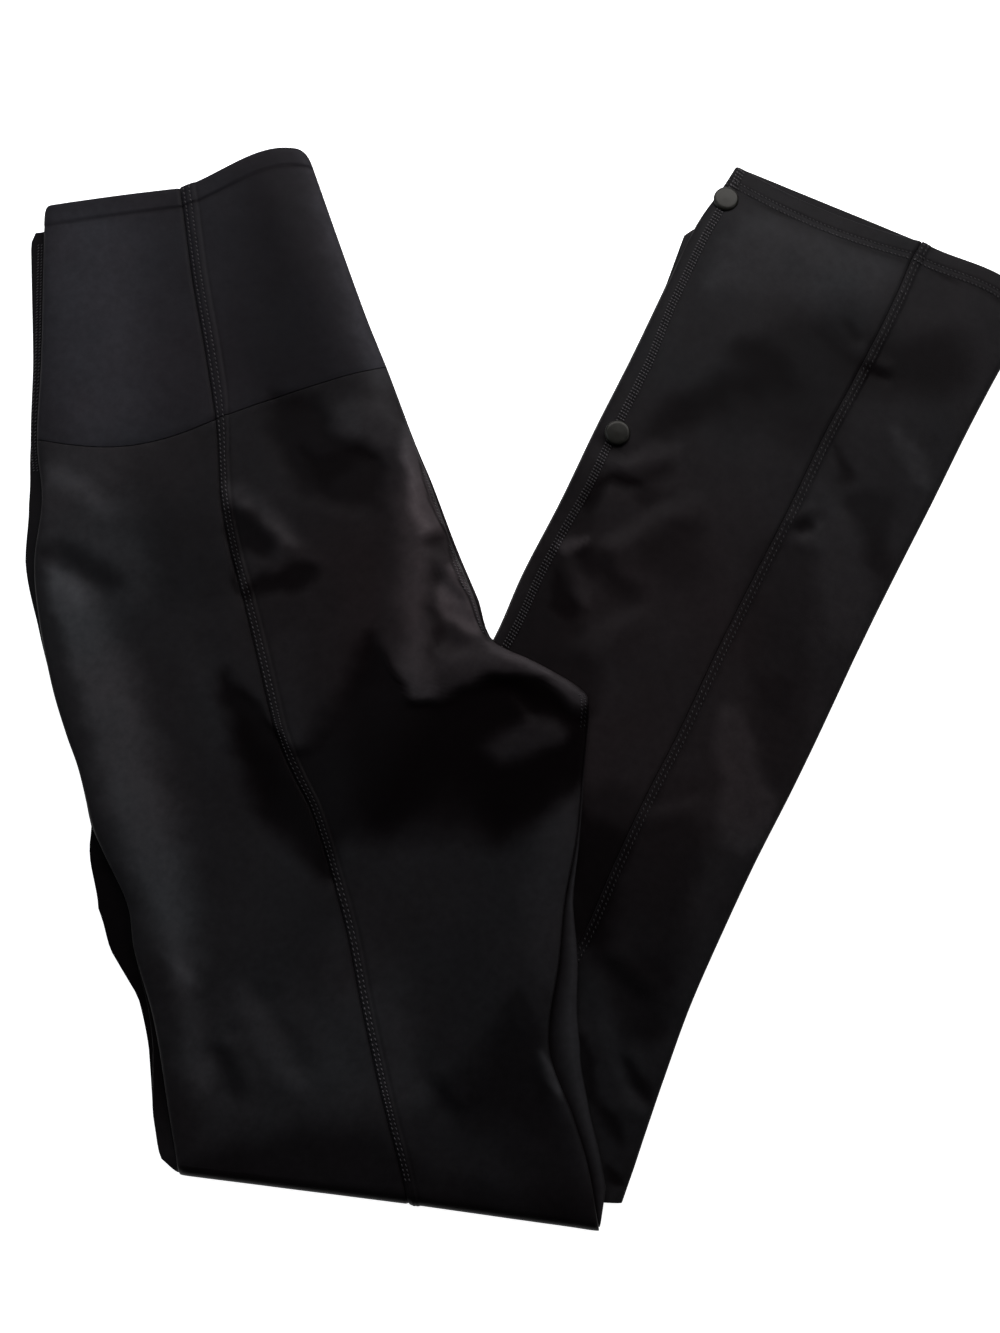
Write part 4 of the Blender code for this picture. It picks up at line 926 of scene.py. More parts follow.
thigh = Waist(THIGH_SECTIONS, THIGH_REACH, thigh_level, thigh_relief, thigh_floor, thigh_bare,
              WAIST_BOW, WAIST_CORNERS, THIGH_WELT, THIGH_ZONES, THIGH_SEAM_SHADE)
shin = Hem(SHIN_SECTIONS, SHIN_REACH, shin_level, shin_relief, shin_floor, shin_bare,
           HEM_BOW, HEM_CORNERS, SHIN_WELT, SHIN_ZONES, SHIN_SEAM_SHADE)


# ---------------------------------------------------------------- mesh helpers
def add_mesh(name, vertices, faces, material, smooth_angle=50.0):
    """A mesh object in metres about the middle of the footprint, facing out."""
    mesh = bpy.data.meshes.new(name)
    placed = (np.asarray(vertices, float).reshape(-1, 3) - (CENTER_X, CENTER_Y, 0.0)) * MM
    mesh.from_pydata(placed.tolist(), [], [tuple(int(i) for i in face) for face in faces])
    mesh.validate()
    mesh.materials.append(material)
    made = bpy.data.objects.new(name, mesh)
    bpy.context.scene.collection.objects.link(made)
    mesh.shade_smooth()
    mesh.set_sharp_from_angle(angle=math.radians(smooth_angle))
    return made


def grid_faces(rows, columns, start=0, flip=False):
    index = start + np.arange(rows * columns).reshape(rows, columns)
    a, b = index[:-1, :-1].ravel(), index[:-1, 1:].ravel()
    c, d = index[1:, 1:].ravel(), index[1:, :-1].ravel()
    quads = np.stack((a, d, c, b) if not flip else (a, b, c, d), axis=1)
    return quads.tolist()


def set_tone(made, tone):
    painted_light = made.data.attributes.new("painted_light", "FLOAT", "POINT")
    painted_light.data.foreach_set("value", np.asarray(tone, np.float32))


def sheet_mesh(name, outer, inner, material, tone):
    """A closed thin sheet between two grids of points of the same shape; one tone a point."""
    rows, columns = outer.shape[:2]
    vertices = np.concatenate((outer.reshape(-1, 3), inner.reshape(-1, 3)))
    lower = rows * columns
    faces = grid_faces(rows, columns) + grid_faces(rows, columns, lower, True)
    index = np.arange(lower).reshape(rows, columns)
    for line, flip in ((index[:, 0], False), (index[:, -1], True),
                       (index[0, :], True), (index[-1, :], False)):
        for a, b in zip(line[:-1], line[1:]):
            face = (a, a + lower, b + lower, b)
            faces.append(face[::-1] if flip else face)
    made = add_mesh(name, vertices, faces, material)
    set_tone(made, np.tile(np.ravel(tone), 2))
    return made


def finish_piece(made, nodes):
    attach(made, "root")
    if nodes:
        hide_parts(*nodes)
    return made


# ---------------------------------------------------------------- materials
DEEP_BLACK = (0.0012, 0.0004, 0.0006)   # added to the dyed cloth
COOL_DYE = (0.97, 1.02, 1.03, 1.0)
WARM_DYE = (1.22, 0.98, 0.97, 1.0)
LINT_COLOUR = (0.12, 0.12, 0.12, 1.0)
# material, colour, turn of the knit in degrees, middle of the warm dye, its reach [m]
KNITS = (
    ("band_knit", (0.0131, 0.0132, 0.0152), 4.0, (0.5, 0.5, 0.0), 0.1),
    ("thigh_knit", (0.0115, 0.0115, 0.0122), -8.0, (-0.045, 0.035, 0.0), 0.13),
    ("shin_knit", (0.0110, 0.0113, 0.0119), 28.0, (0.06, 0.0, 0.0), 0.17),
)
# Paler than the cloth: partly the thread's own colour, partly painted sheen.
THREAD_COLOUR = (0.046, 0.043, 0.046)
METAL_DARK = (0.0125, 0.0125, 0.0105, 1.0)
METAL_PALE = (0.0175, 0.0175, 0.0150, 1.0)


class Finish:
    """A material, and short ways to add nodes to it and join them."""

    def __init__(self, name, settings):
        self.material = bpy.data.materials.new(name)
        self.material.use_nodes = True
        self.nodes = self.material.node_tree.nodes
        self.links = self.material.node_tree.links
        self.shader = self.nodes["Principled BSDF"]
        self.fill(self.shader, settings)
        self.place = self.add("TexCoord").outputs["Object"]

    def fill(self, node, inputs):
        """Sets a node's inputs; one that is given another node's output is joined to it."""
        for key, value in inputs.items():
            if isinstance(value, bpy.types.NodeSocket):
                self.links.new(value, node.inputs[key])
            else:
                node.inputs[key].default_value = value

    def add(self, kind, inputs=None, **properties):
        node = self.nodes.new("ShaderNode" + kind)
        for key, value in properties.items():
            setattr(node, key, value)
        self.fill(node, inputs or {})
        return node

    def sum_of(self, kind, first, second):
        return self.add("Math", {0: first, 1: second}, operation=kind).outputs[0]

    def between(self, share, first, second):
        """A colour between two others."""
        inputs = {"Factor": share, "A": first, "B": second}
        return self.add("Mix", inputs, data_type="RGBA").outputs["Result"]

    def with_painted_light(self, colour):
        """A colour made darker by the painted shade, or paler by the painted highlight, stored in
        the mesh.
        """
        painted_light = self.add("Attribute", attribute_name="painted_light").outputs["Fac"]
        scaled = self.add("VectorMath", {0: colour, "Scale": painted_light}, operation="SCALE")
        return scaled.outputs["Vector"]

    def bump(self, height, strength, distance):
        inputs = {"Height": height, "Strength": strength, "Distance": distance}
        self.fill(self.shader, {"Normal": self.add("Bump", inputs).outputs["Normal"]})


def shades(colour, dark, pale):
    """A darker and a paler shade of a colour."""
    return [(*(channel * share for channel in colour), 1.0) for share in (dark, pale)]


def knit(name, colour, turn, warm_place, warm_reach):
    """Fine knit: wales and courses in relief, cloudy tone, soft sheen and a little lint."""
    made = Finish(name, {"Roughness": 0.36, "Specular IOR Level": 0.03,
                         "Sheen Weight": 0.004, "Sheen Roughness": 0.5})
    turned = made.add("Mapping", {"Vector": made.place,
                                  "Rotation": (0.0, 0.0, math.radians(turn))}).outputs["Vector"]

    def waves(scale, distortion, direction):
        inputs = {"Vector": turned, "Scale": scale, "Distortion": distortion, "Detail": 1.0}
        return made.add("TexWave", inputs, bands_direction=direction).outputs["Fac"]

    def cloud(scale, detail, roughness):
        inputs = {"Vector": turned, "Scale": scale, "Detail": detail, "Roughness": roughness}
        return made.add("TexNoise", inputs).outputs["Fac"]

    def blend(first, first_share, second, second_share):
        return made.sum_of("ADD", made.sum_of("MULTIPLY", first, first_share),
                           made.sum_of("MULTIPLY", second, second_share))

    wales, courses = waves(560.0, 0.6, "X"), waves(760.0, 0.8, "Y")
    loops = made.sum_of("ADD", wales, made.sum_of("MULTIPLY", courses, 0.6))
    grain = made.sum_of("MULTIPLY", cloud(900.0, 2.0, 0.6), 1.1)
    made.bump(made.sum_of("ADD", loops, grain), 0.35, 0.00008)

    tone = blend(cloud(38.0, 4.0, 0.55), 0.5, cloud(260.0, 2.0, 0.6), 0.6)
    tone = made.add("MapRange", {"Value": tone, "From Min": 0.3, "From Max": 0.8}).outputs["Result"]
    # The painted shade and highlight stored in the mesh scale the cloth's colour.
    painted_cloth = made.with_painted_light(made.between(tone, *shades(colour, 0.8, 1.25)))

    cast = made.add("MapRange", {"Value": cloud(13.0, 3.0, 0.6),
                                 "From Min": 0.35, "From Max": 0.65}).outputs["Result"]
    away = made.add("VectorMath", {0: made.place, 1: warm_place}, operation="DISTANCE")
    warmth = made.add("MapRange", {"Value": away.outputs["Value"], "From Min": warm_reach,
                                   "From Max": 0.2 * warm_reach}, interpolation_type="SMOOTHSTEP")
    share = blend(cast, 0.35, warmth.outputs["Result"], 0.65)
    dye = made.between(share, COOL_DYE, WARM_DYE)
    tinted = made.add("VectorMath", {0: painted_cloth, 1: dye}, operation="MULTIPLY").outputs["Vector"]
    dyed = made.add("VectorMath", {0: tinted, 1: DEEP_BLACK}).outputs["Vector"]

    lint = made.add("TexVoronoi", {"Vector": turned, "Scale": 34.0, "Randomness": 1.0})
    near = made.sum_of("LESS_THAN", lint.outputs["Distance"], 0.008)
    pick = made.add("SeparateColor", {"Color": lint.outputs["Color"]}).outputs["Red"]
    rare = made.sum_of("MULTIPLY", near, made.sum_of("GREATER_THAN", pick, 0.93))
    speckled = made.between(made.sum_of("MULTIPLY", rare, 0.5), dyed, LINT_COLOUR)
    made.fill(made.shader, {"Base Color": speckled})
    return made.material


def thread(name, colour):
    made = Finish(name, {"Roughness": 0.45, "Specular IOR Level": 0.3})
    fibres = made.add("TexNoise", {"Vector": made.place, "Scale": 2600.0}).outputs["Fac"]
    cloth = made.with_painted_light(made.between(fibres, *shades(colour, 0.6, 1.4)))
    made.fill(made.shader, {"Base Color": cloth})
    made.bump(fibres, 0.4, 0.00005)
    return made.material


def gunmetal(name):
    made = Finish(name, {"Metallic": 0.4, "Specular IOR Level": 0.2})
    wear = made.add("TexNoise", {"Vector": made.place, "Scale": 420.0, "Detail": 5.0})
    wear = wear.outputs["Fac"]
    rough = made.add("MapRange", {"Value": wear, "To Min": 0.24, "To Max": 0.38}).outputs["Result"]
    made.fill(made.shader, {"Roughness": rough,
                            "Base Color": made.between(wear, METAL_DARK, METAL_PALE)})
    made.bump(wear, 0.12, 0.0001)
    return made.material


BAND, LEG, LOWER = (knit(*row) for row in KNITS)
THREAD = thread("thread_black", THREAD_COLOUR)
METAL = gunmetal("stud_gunmetal")

# ---------------------------------------------------------------- top plies
EDGE_MARKS = [0.0, 0.25, 0.7, 1.2, 1.7, 2.2, 2.8, 3.5, 4.6]      # from a long edge
SEAM_MARKS = [8.0, 5.0, 3.2, 2.2, 1.5, 0.9, 0.5 * SEAM_GAP]      # from the mid seam
LADDER_MARKS = 15             # points across the side seam's three rows
WELT_MARKS = (0.17, 0.24, 0.31, 0.40, 0.48, 0.55, 0.62, 0.69, 0.78, 0.88)    # shares of a welt
WELT_END_MARKS = (-0.2, 0.3, 1.0, 2.2)                           # past its width
THIGH_COUNTS = (34, 46)       # points between, on the left and right panel
SHIN_COUNTS = (42, 28)
THIGH_STEP = 2.3
SHIN_STEP = 2.2
LEAST_ROW_STEP = 0.012        # in rows
# extra rows at the waist edge, its turn, the waistband's seam and the hem
BAND_LINES = (0.02, 0.05, 0.1, 0.16, 0.24, 0.86, 0.92, 0.97, 1.0, 1.03, 1.07, 1.12,
              3.9, 3.95, 3.98)
LEG_LINES = (4.02, 4.05, 4.1)
HEM_LINES = (0.02, 0.06, 0.12, 0.2, 0.44, 0.5, 0.56, 0.62, 0.68, 0.74, 0.8, 0.86)
BAND_ROW = 4.0                # the waistband's seam
BAND_REACH = 0.9              # rows over which its bow fades
BAND_END_ROW = 3.994          # the panels' last and first row beside it
LEG_START_ROW = 4.006
# bow of that seam in rows: left panel, right panel, slope up to the mid seam
BAND_BOW = (0.24, -0.04, -0.12)
SEAM_PULL = ((0.7, 1.0), (0.8, 0.15))   # how hard the seam pulls in, from left to right
BAND_DIPS = (0.34, 0.18, 0.07)          # how deep it pulls the rows beside it, nearest first
LEG_DIPS = (0.3, 0.15, 0.05)
WAIST_LIP = 0.5               # how far the inner face closes up at the waist and at the hem
HEM_LIP = 0.4
OUTER_LIP = 0.3               # shares of a lip taken by the outer and the inner face
INNER_LIP = 1.7
FOLD_ROW = 20.0               # the knee fold
KNEE_ROW = 19.42              # where the thigh's cloth starts to turn round the knee
KNEE_TONES = ((0, 4, 9), (1.0, 0.7, 0.12))       # rows past that, and the painted shade on the cloth there as it turns down


def panel_marks(part, row, side, count):
    """Distances across a panel from its left side, close together at edge and seams."""
    width = float(part.widths(row)[side])
    if side == 0:
        first = list(EDGE_MARKS)
        if part is shin:
            middle, reach = float(part.side_seam(row)), LADDER_GAP + 0.9
            first = EDGE_MARKS[:3] + list(middle + np.linspace(-reach, reach, LADDER_MARKS))
        middle = np.linspace(first[-1], width - SEAM_MARKS[0], count + 1)[1:-1]
        return np.concatenate((first, middle, [width - mark for mark in SEAM_MARKS]))
    wide = float(part.welt(row, 1))
    seam = [0.5 * SEAM_GAP, 0.45, 0.8] + [wide * share for share in WELT_MARKS]
    seam += [wide + mark for mark in WELT_END_MARKS]
    middle = np.linspace(seam[-1], width - EDGE_MARKS[-1], count + 1)[1:-1]
    return np.concatenate((seam, middle, [width - mark for mark in EDGE_MARKS[::-1]]))


def lip(distance, wall):
    """How far a ply's two faces close on each other at its edge."""
    return edge_rounding(distance, 0.8 * wall, 0.5 * wall)


def band_bow(rows, side, along, width):
    """The waistband's lower seam bows: rows near it shift along the leg."""
    share = along / width
    slope = BAND_BOW[2] * (share if side == 0 else 1.0 - share)
    shift = BAND_BOW[side] * np.sin(math.pi * share) + slope
    return rows + bell(rows - BAND_ROW, BAND_REACH) * shift


def panel_surfaces(part, rows, side, count, wall):
    """Outer and inner points of one panel, and its tone."""
    rows = np.asarray(rows, float)
    marks = np.array([panel_marks(part, row, side, count) for row in rows])
    rows = np.repeat(rows[:, None], marks.shape[1], axis=1)
    if part is thigh:
        rows = band_bow(rows, side, marks, part.widths(rows)[side])
        marks = marks * part.widths(rows)[side] / marks.max(axis=1, keepdims=True)
    x, y, height, bump = part.surface(rows, side, marks)
    from_edge = marks if side == 0 else marks.max(axis=1, keepdims=True) - marks
    close = lip(from_edge, wall)
    outer = np.stack((x, y, height + bump - close * OUTER_LIP), axis=-1)
    inner = np.stack((x, y, height - wall + np.minimum(bump, 0.0) + close * INNER_LIP), axis=-1)
    return outer, inner, part.tone(rows, side, marks)


def with_lines(rows, lines):
    """Rows with extra ones put in, none closer than the least step."""
    rows = np.array(sorted(set(np.round(np.concatenate((rows, lines)), 4))))
    keep = [rows[0]]
    for row in rows[1:]:
        if row - keep[-1] > LEAST_ROW_STEP:
            keep.append(row)
    keep[-1] = rows[-1]
    return np.array(keep)


def pull_in(outer, rows, dips, side):
    """Draws the rows beside the waistband's seam down."""
    for row, drop in zip(rows, dips):
        outer[row, :, 2] -= drop * np.linspace(*SEAM_PULL[side], outer.shape[1])


def round_the_knee(side, last):
    """Outer and inner rows that carry a leg panel from its last row round the knee."""
    marks = panel_marks(thigh, KNEE_ROW, side, THIGH_COUNTS[side])
    width = thigh.widths(KNEE_ROW)[side]
    fold = thigh.plan(FOLD_ROW, side, marks / width)
    _, _, height, bump = thigh.surface(KNEE_ROW, side, marks)
    inward = last - fold
    inward /= np.hypot(inward[:, 0], inward[:, 1])[:, None]
    half, bump = 0.5 * height[:, None], bump[:, None]
    close = lip(marks if side == 0 else width - marks, CLOTH_WALL)[:, None]
    outer, inner = [], []
    for share in (0.25, 0.5, 0.75, 1.0):
        place = last + (fold + inward * FOLD_RADIUS - last) * share
        outer.append(np.hstack((place, 2.0 * half + bump - close * OUTER_LIP)))
        inner.append(np.hstack((place, 2.0 * half - CLOTH_WALL + close * INNER_LIP)))
    for turn in np.arange(10.0, 181.0, 10.0):
        sine, cosine = math.sin(math.radians(turn)), math.cos(math.radians(turn))
        keep = smooth_step((150.0 - turn) / 60.0)      # the welt fades out on the way down
        for off, store in ((close * OUTER_LIP - bump * keep, outer),
                           (CLOTH_WALL - close * INNER_LIP, inner)):
            reach = FOLD_RADIUS - (FOLD_RADIUS - off) * sine
            store.append(np.hstack((fold + inward * reach, half + (half - off) * cosine)))
    return np.array(outer), np.array(inner)


def build_thigh():
    """Waistband and leg panels; the leg panels turn round the knee to the surface."""
    made = {}
    band_rows = with_lines(thigh.rows(0.0, BAND_END_ROW, THIGH_STEP), BAND_LINES)
    leg_rows = with_lines(thigh.rows(LEG_START_ROW, KNEE_ROW, THIGH_STEP), LEG_LINES)
    for side, band, leg in ((0, "waistband_side", "thigh_side"),
                            (1, "waistband_center", "thigh_center")):
        count = THIGH_COUNTS[side]
        outer, inner, tone = panel_surfaces(thigh, band_rows, side, count, WAISTBAND_WALL)
        pull_in(outer, (-1, -2, -3), BAND_DIPS, side)
        inner[0, :, 2] += WAIST_LIP
        made[band] = finish_piece(sheet_mesh(band + "_cloth", outer, inner, BAND, tone),
                                  [band])

        outer, inner, tone = panel_surfaces(thigh, leg_rows, side, count, CLOTH_WALL)
        pull_in(outer, (0, 1, 2), LEG_DIPS, side)
        turned_outer, turned_inner = round_the_knee(side, outer[-1, :, :2])
        fading = np.interp(np.arange(1, len(turned_outer) + 1), *KNEE_TONES)
        made[leg] = finish_piece(
            sheet_mesh(leg + "_cloth", np.concatenate((outer, turned_outer)),
                       np.concatenate((inner, turned_inner)), LEG,
                       np.concatenate((tone, tone[-1] * fading[:, None]))), [leg])
    return made


def build_shin():
    made = {}
    rows = with_lines(shin.rows(0.0, 15.0, SHIN_STEP), HEM_LINES)
    for side, name in ((0, "shin_side"), (1, "shin_center")):
        outer, inner, tone = panel_surfaces(shin, rows, side, SHIN_COUNTS[side], CLOTH_WALL)
        inner[0, :, 2] += HEM_LIP
        made[name] = finish_piece(sheet_mesh(name + "_cloth", outer, inner, LOWER, tone),
                                  [name])
    return made


# ---------------------------------------------------------------- hidden plies
PLY_STEP = 5.0
PLY_COUNT = 34                # points between, across a ply
PLY_SHARES = ((0.70, 1.0), (0.36, 0.66), (0.004, 0.32))    # bottom and top of each, in the stack
PLY_ROUND = 0.9               # width of a ply's rounded edge
TOP_PLY = 1.35                # what the top ply takes up
PLY_END = 19.3                # where the thigh's plies start to turn round the knee
SHIN_PLY_END = 14.9
# first row of plies 2, 3 and 4
THIGH_PLY_STARTS = (0.06, 1.13, 1.16)
SHIN_PLY_STARTS = (0.05, 2.07, 2.1)
# rows of the thigh, and the tone of its hidden plies at their left and right edges: painted shade
# below one, painted highlight above one
PLY_TONES = ((4.0, 9.0, 12.0, 17.6, 18.4, 20.0), (0.5, 0.5, 0.1, 0.14, 0.6, 0.9),
             (1.0, 1.0, 1.1, 1.65, 1.6, 1.0))
RIM_SHARES = (0.0, 0.1, 0.2, 0.35, 0.55, 0.75)
# Share of the way across what shows of a ply on the right, and its tone: a painted shadow under the
# top ply's edge, and a painted highlight further out.
RIM_TONES = ((0.0, 0.12, 0.4, 0.75, 1.0), (0.12, 0.25, 0.7, 1.4, 1.2))
# of plies 2, 3 and 4: reach past the turn's start, height that it comes down to
KNEE_TURNS = ((3.9, 2.0), (2.6, 3.3), (1.3, 4.6))


def toward(start, end):
    """Direction from one point to another, of length one."""
    return (end - start) / np.hypot(*(end - start))


def ply_line(part, row, left, right, count):
    """Points across a hidden ply, from past the left edge to past the right edge."""
    values = smooth_rows(part.sections, row)
    corners = [values[0:2], values[2:4], values[4:6]]
    for corner, radius in ((0, part.corners[0]), (2, part.corners[1])):
        inset = edge_rounding(part.travel(row), radius, radius)
        corners[corner] = corners[corner] + toward(corners[corner], corners[1]) * inset
    start, seam, end = corners
    path = np.array([start - toward(start, seam) * left, start + (seam - start) * 1e-4, seam,
                     end - (end - seam) * 1e-4, end + toward(seam, end) * right])
    travelled = np.concatenate(([0.0], np.cumsum(np.hypot(*np.diff(path, axis=0).T))))
    total = travelled[-1]
    ends = np.array([0.0, 0.12, 0.4, 0.9, 1.8, 3.5])
    marks = np.concatenate((ends, np.linspace(3.5, total - 3.5, count + 1)[1:-1],
                            total - ends[::-1], travelled[3] + right * np.array(RIM_SHARES)))
    marks = np.sort(marks) + 0.004 * np.arange(len(marks))      # none in the same place
    marks *= total / marks[-1]
    x = np.interp(marks, travelled, path[:, 0])
    y = np.interp(marks, travelled, path[:, 1])
    inside = np.minimum(marks - travelled[1], travelled[3] - marks)
    past = (marks - travelled[3]) / max(right, 1.0)
    return x, y, np.maximum(inside, 0.0), np.minimum(marks, total - marks), past


def ply_under(part, x, y, inside):
    """Underside of the top ply, above the hidden plies."""
    top = part.level(x, y) + part.relief(x, y) - edge_rounding(inside, EDGE_ROUND, EDGE_DROP)
    return np.maximum(top, part.floor(x, y) + LEAST_STACK) - TOP_PLY


def knee_turn(x, y, top, bottom, reach, target):
    """Rows that carry a hidden ply round the knee, down to the ply that it becomes."""
    before, fold = smooth_rows(THIGH_SECTIONS, [PLY_END, FOLD_ROW])
    there = np.stack([np.interp(x, before[0::2], fold[c::2]) for c in (0, 1)], axis=1)
    here = np.stack((x, y), axis=1)
    outward = there - here
    distance = np.hypot(outward[:, 0], outward[:, 1])[:, None]
    outward /= distance
    wall, middle = 0.5 * (top - bottom)[:, None], 0.5 * (top + bottom)[:, None]
    drop, centre = 0.5 * (middle - target), 0.5 * (middle + target)
    outer, inner = [], []
    for share in (0.5, 1.0):
        place = here + outward * (distance - FOLD_RADIUS) * share
        outer.append(np.hstack((place, middle + wall)))
        inner.append(np.hstack((place, middle - wall)))
    for turn in np.radians(np.arange(15.0, 181.0, 15.0)):
        for size, store in ((wall, outer), (-wall, inner)):
            reached = place + outward * (reach + size) * math.sin(turn)
            store.append(np.hstack((reached, centre + (drop + size) * math.cos(turn))))
    return outer, inner


def build_ply(part, index, first_row, last_row):
    """Outer and inner points of ply 2, 3 or 4 (index 0, 1 or 2), and its tone."""
    outer, inner, tones = [], [], []
    for row in part.rows(first_row, last_row, PLY_STEP):
        left2, left3, right2, right3 = reach_at(part.reach, row)
        left, right = (left2, right2) if index == 0 else (left3 - 0.5 * (index - 1), right3)
        x, y, inside, from_edge, past = ply_line(part, row, max(left, -0.4), right - 0.3 * index,
                                                 PLY_COUNT)
        high, low = ply_under(part, x, y, inside), part.floor(x, y)
        top = low + (high - low) * PLY_SHARES[index][1]
        bottom = low + (high - low) * PLY_SHARES[index][0]
        close = edge_rounding(from_edge, PLY_ROUND, 0.5 * (top - bottom))
        top, bottom = top - close, bottom + close
        if index == 2:
            depth, size, seed = UNDER_RIPPLE
            dent = depth * np.clip(ripple(x, y, size, seed) + 0.3, 0.0, 1.0)
            seam = smooth_rows(part.sections, row)[2:4]
            dent += UNDER_SEAM[0] * bell(np.hypot(x - seam[0], y - seam[1]), UNDER_SEAM[1])
            bottom = np.minimum(bottom + dent, 0.5 * (top + bottom))
        outer.append(np.stack((x, y, top), axis=1))
        inner.append(np.stack((x, y, bottom), axis=1))
        # Painted shade and highlight on the thigh's hidden plies, and painted shade along every
        # ply's edge.
        tone = np.ones(len(x))
        if part is thigh:
            left_tone, right_tone = (np.interp(row, PLY_TONES[0], edge) for edge in PLY_TONES[1:])
            tone = np.where(past < -2.0, left_tone, right_tone * np.interp(past, *RIM_TONES))
        tones.append(tone * (1.0 - EDGE_SHADE * bell(from_edge, PLY_EDGE_WIDTH)))
    if part is thigh:
        turned = knee_turn(x, y, top, bottom, *KNEE_TURNS[index])
        outer += turned[0]
        inner += turned[1]
        tones += [tones[-1]] * len(turned[0])
    return np.array(outer), np.array(inner), np.array(tones)


pieces = {**build_thigh(), **build_shin()}
for part, title, starts, end, material in (
        (thigh, "thigh", THIGH_PLY_STARTS, PLY_END, LEG),
        (shin, "shin", SHIN_PLY_STARTS, SHIN_PLY_END, LOWER)):
    for index, start in enumerate(starts):
        name = f"{title}_ply_{index + 2}"
        outer, inner, tone = build_ply(part, index, start, end)
        pieces[name] = finish_piece(sheet_mesh(name, outer, inner, material, tone),
                                    [title + "_under"])


# ---------------------------------------------------------------- stitches
STITCH_RINGS = ((0.0, 0.45), (0.28, 1.0), (0.72, 1.0), (1.0, 0.45))    # share along, size
STITCH_SIDES = 5
STITCH_LIFT = 0.12
THREAD_SHADE = 0.8            # how far thread takes the painted shade and highlight of the cloth under it
# first row, last row, pitch, length, slant
MID_SEAM = (0.15, 19.3, 2.32, 1.35, 0.35)
SHIN_SEAM = (0.15, 13.6, 2.57, 1.2, 0.9)
SHIN_SEAM_SHARES = (0.3, 0.74)
LADDER_START = (0.1, 0.03)    # first row of the middle row, and how much later the next one starts
LADDER_STITCH = (8.6, 1.68, 0.55, 1.15)          # last row, pitch, length, slant
HEM_STITCH = (2.1, 1.2, 0.7)                     # pitch, length, slant
RISE_STITCH = (1.7, 0.9, 0.6)
STRIP_STITCH = (1.35, 4.5, 1.7, 0.9, 0.9)
# first row, last row, distance from the rise's edge
RISE_ROWS = ((5.7, 6.65, 1.2), (7.0, 8.8, 1.2), (7.3, 7.85, 2.6), (11.3, 12.5, 1.5),
             (11.3, 12.5, 3.4))
STRIP_ROWS = (1.7, 3.5)       # past the left edge


def stitch_mesh(name, rows_of_stitches, radius, zones=(), tone=1.0):
    """Short lengths of thread, each bowed a little above the cloth, as one mesh."""
    starts = np.concatenate([pair[0].reshape(-1, 3) for pair in rows_of_stitches])
    ends = np.concatenate([pair[1].reshape(-1, 3) for pair in rows_of_stitches])
    line = ends - starts
    line /= np.linalg.norm(line, axis=1, keepdims=True)
    side = np.stack((-line[:, 1], line[:, 0], 0.0 * line[:, 0]), axis=1)
    side /= np.linalg.norm(side, axis=1, keepdims=True)
    up = np.cross(line, side)
    points = []
    for share, size in STITCH_RINGS:
        bow = up * (0.5 * radius * math.sin(math.pi * share))
        middle = starts + (ends - starts) * share + bow
        for k in range(STITCH_SIDES):
            angle = 2.0 * math.pi * k / STITCH_SIDES
            points.append(middle + radius * size * (math.cos(angle) * side + math.sin(angle) * up))
    one = []
    for ring in range(len(STITCH_RINGS) - 1):
        for k in range(STITCH_SIDES):
            a, b = ring * STITCH_SIDES + k, ring * STITCH_SIDES + (k + 1) % STITCH_SIDES
            one.append((a, b, b + STITCH_SIDES, a + STITCH_SIDES))
    one.append(tuple(range(STITCH_SIDES - 1, -1, -1)))
    one.append(tuple(range(len(points) - STITCH_SIDES, len(points))))
    faces = [[index + n * len(points) for index in face]
             for n in range(len(starts)) for face in one]
    made = add_mesh(name, np.stack(points, axis=1), faces, THREAD, 80.0)
    # The thread takes the painted shade and highlight of the zones under it.
    under = zone_painted_light(zones, starts[:, 0], starts[:, 1])
    set_tone(made, np.repeat(tone * under ** THREAD_SHADE, len(points)))
    return finish_piece(made, [])


def seam_stitches(part, side, offset, first, last, pitch, length, slant):
    """Both ends of each stitch in a row that runs along the leg."""
    middles = np.arange(part.travel(first) + 0.5 * pitch, part.travel(last), pitch)
    both = []
    for sign in (-0.5, 0.5):
        rows = part.row_at(middles + sign * length)
        along = offset(rows, part.widths(rows)[side]) + sign * slant
        x, y, height, bump = part.surface(rows, side, along)
        both.append(np.stack((x, y, height + bump + STITCH_LIFT), axis=-1))
    return both


def hem_stitches(side, distance, pitch, length, slant):
    """Both ends of each stitch in a row that runs along the hem."""
    grid = np.linspace(0.2, 1.9, 70)
    marks = np.arange(1.2, float(shin.widths(0.5)[side]) - 0.8, pitch)
    both = []
    for sign in (-0.5, 0.5):
        along = marks + sign * length
        share = along / shin.widths(grid[:, None])[side]
        start = shin.plan(0.0 * grid[:, None], side, share)
        gap = np.linalg.norm(shin.plan(grid[:, None], side, share) - start, axis=-1)
        rows = np.array([np.interp(distance + sign * slant, gap[:, k], grid)
                         for k in range(len(marks))])
        x, y, height, bump = shin.surface(rows, side, along)
        both.append(np.stack((x, y, height + bump + STITCH_LIFT), axis=-1))
    return both


def strip_stitches(outside, first, last, pitch, length, slant):
    """Stitches on the ply that reaches past the waistband and hip on the left."""
    middles = np.arange(thigh.travel(first), thigh.travel(last), pitch)
    both = []
    for sign in (-0.5, 0.5):
        rows = thigh.row_at(middles + sign * length)
        values = smooth_rows(THIGH_SECTIONS, rows)
        outward = values[:, 0:2] - values[:, 2:4]
        outward /= np.linalg.norm(outward, axis=1, keepdims=True)
        place = values[:, 0:2] + outward * (outside + sign * slant)
        under = ply_under(thigh, values[:, 0], values[:, 1], 0.0 * rows)
        both.append(np.column_stack((place, under * PLY_SHARES[1][1] + STITCH_LIFT)))
    return both


def on_welt(part, share):
    """Where a stitch row lies across the welt."""
    return lambda rows, width: part.welt(rows, 1) * share


def on_ladder(k):
    return lambda rows, width: shin.side_seam(rows) + k * LADDER_GAP


def inside_rise(inset):
    return lambda rows, width: width - inset
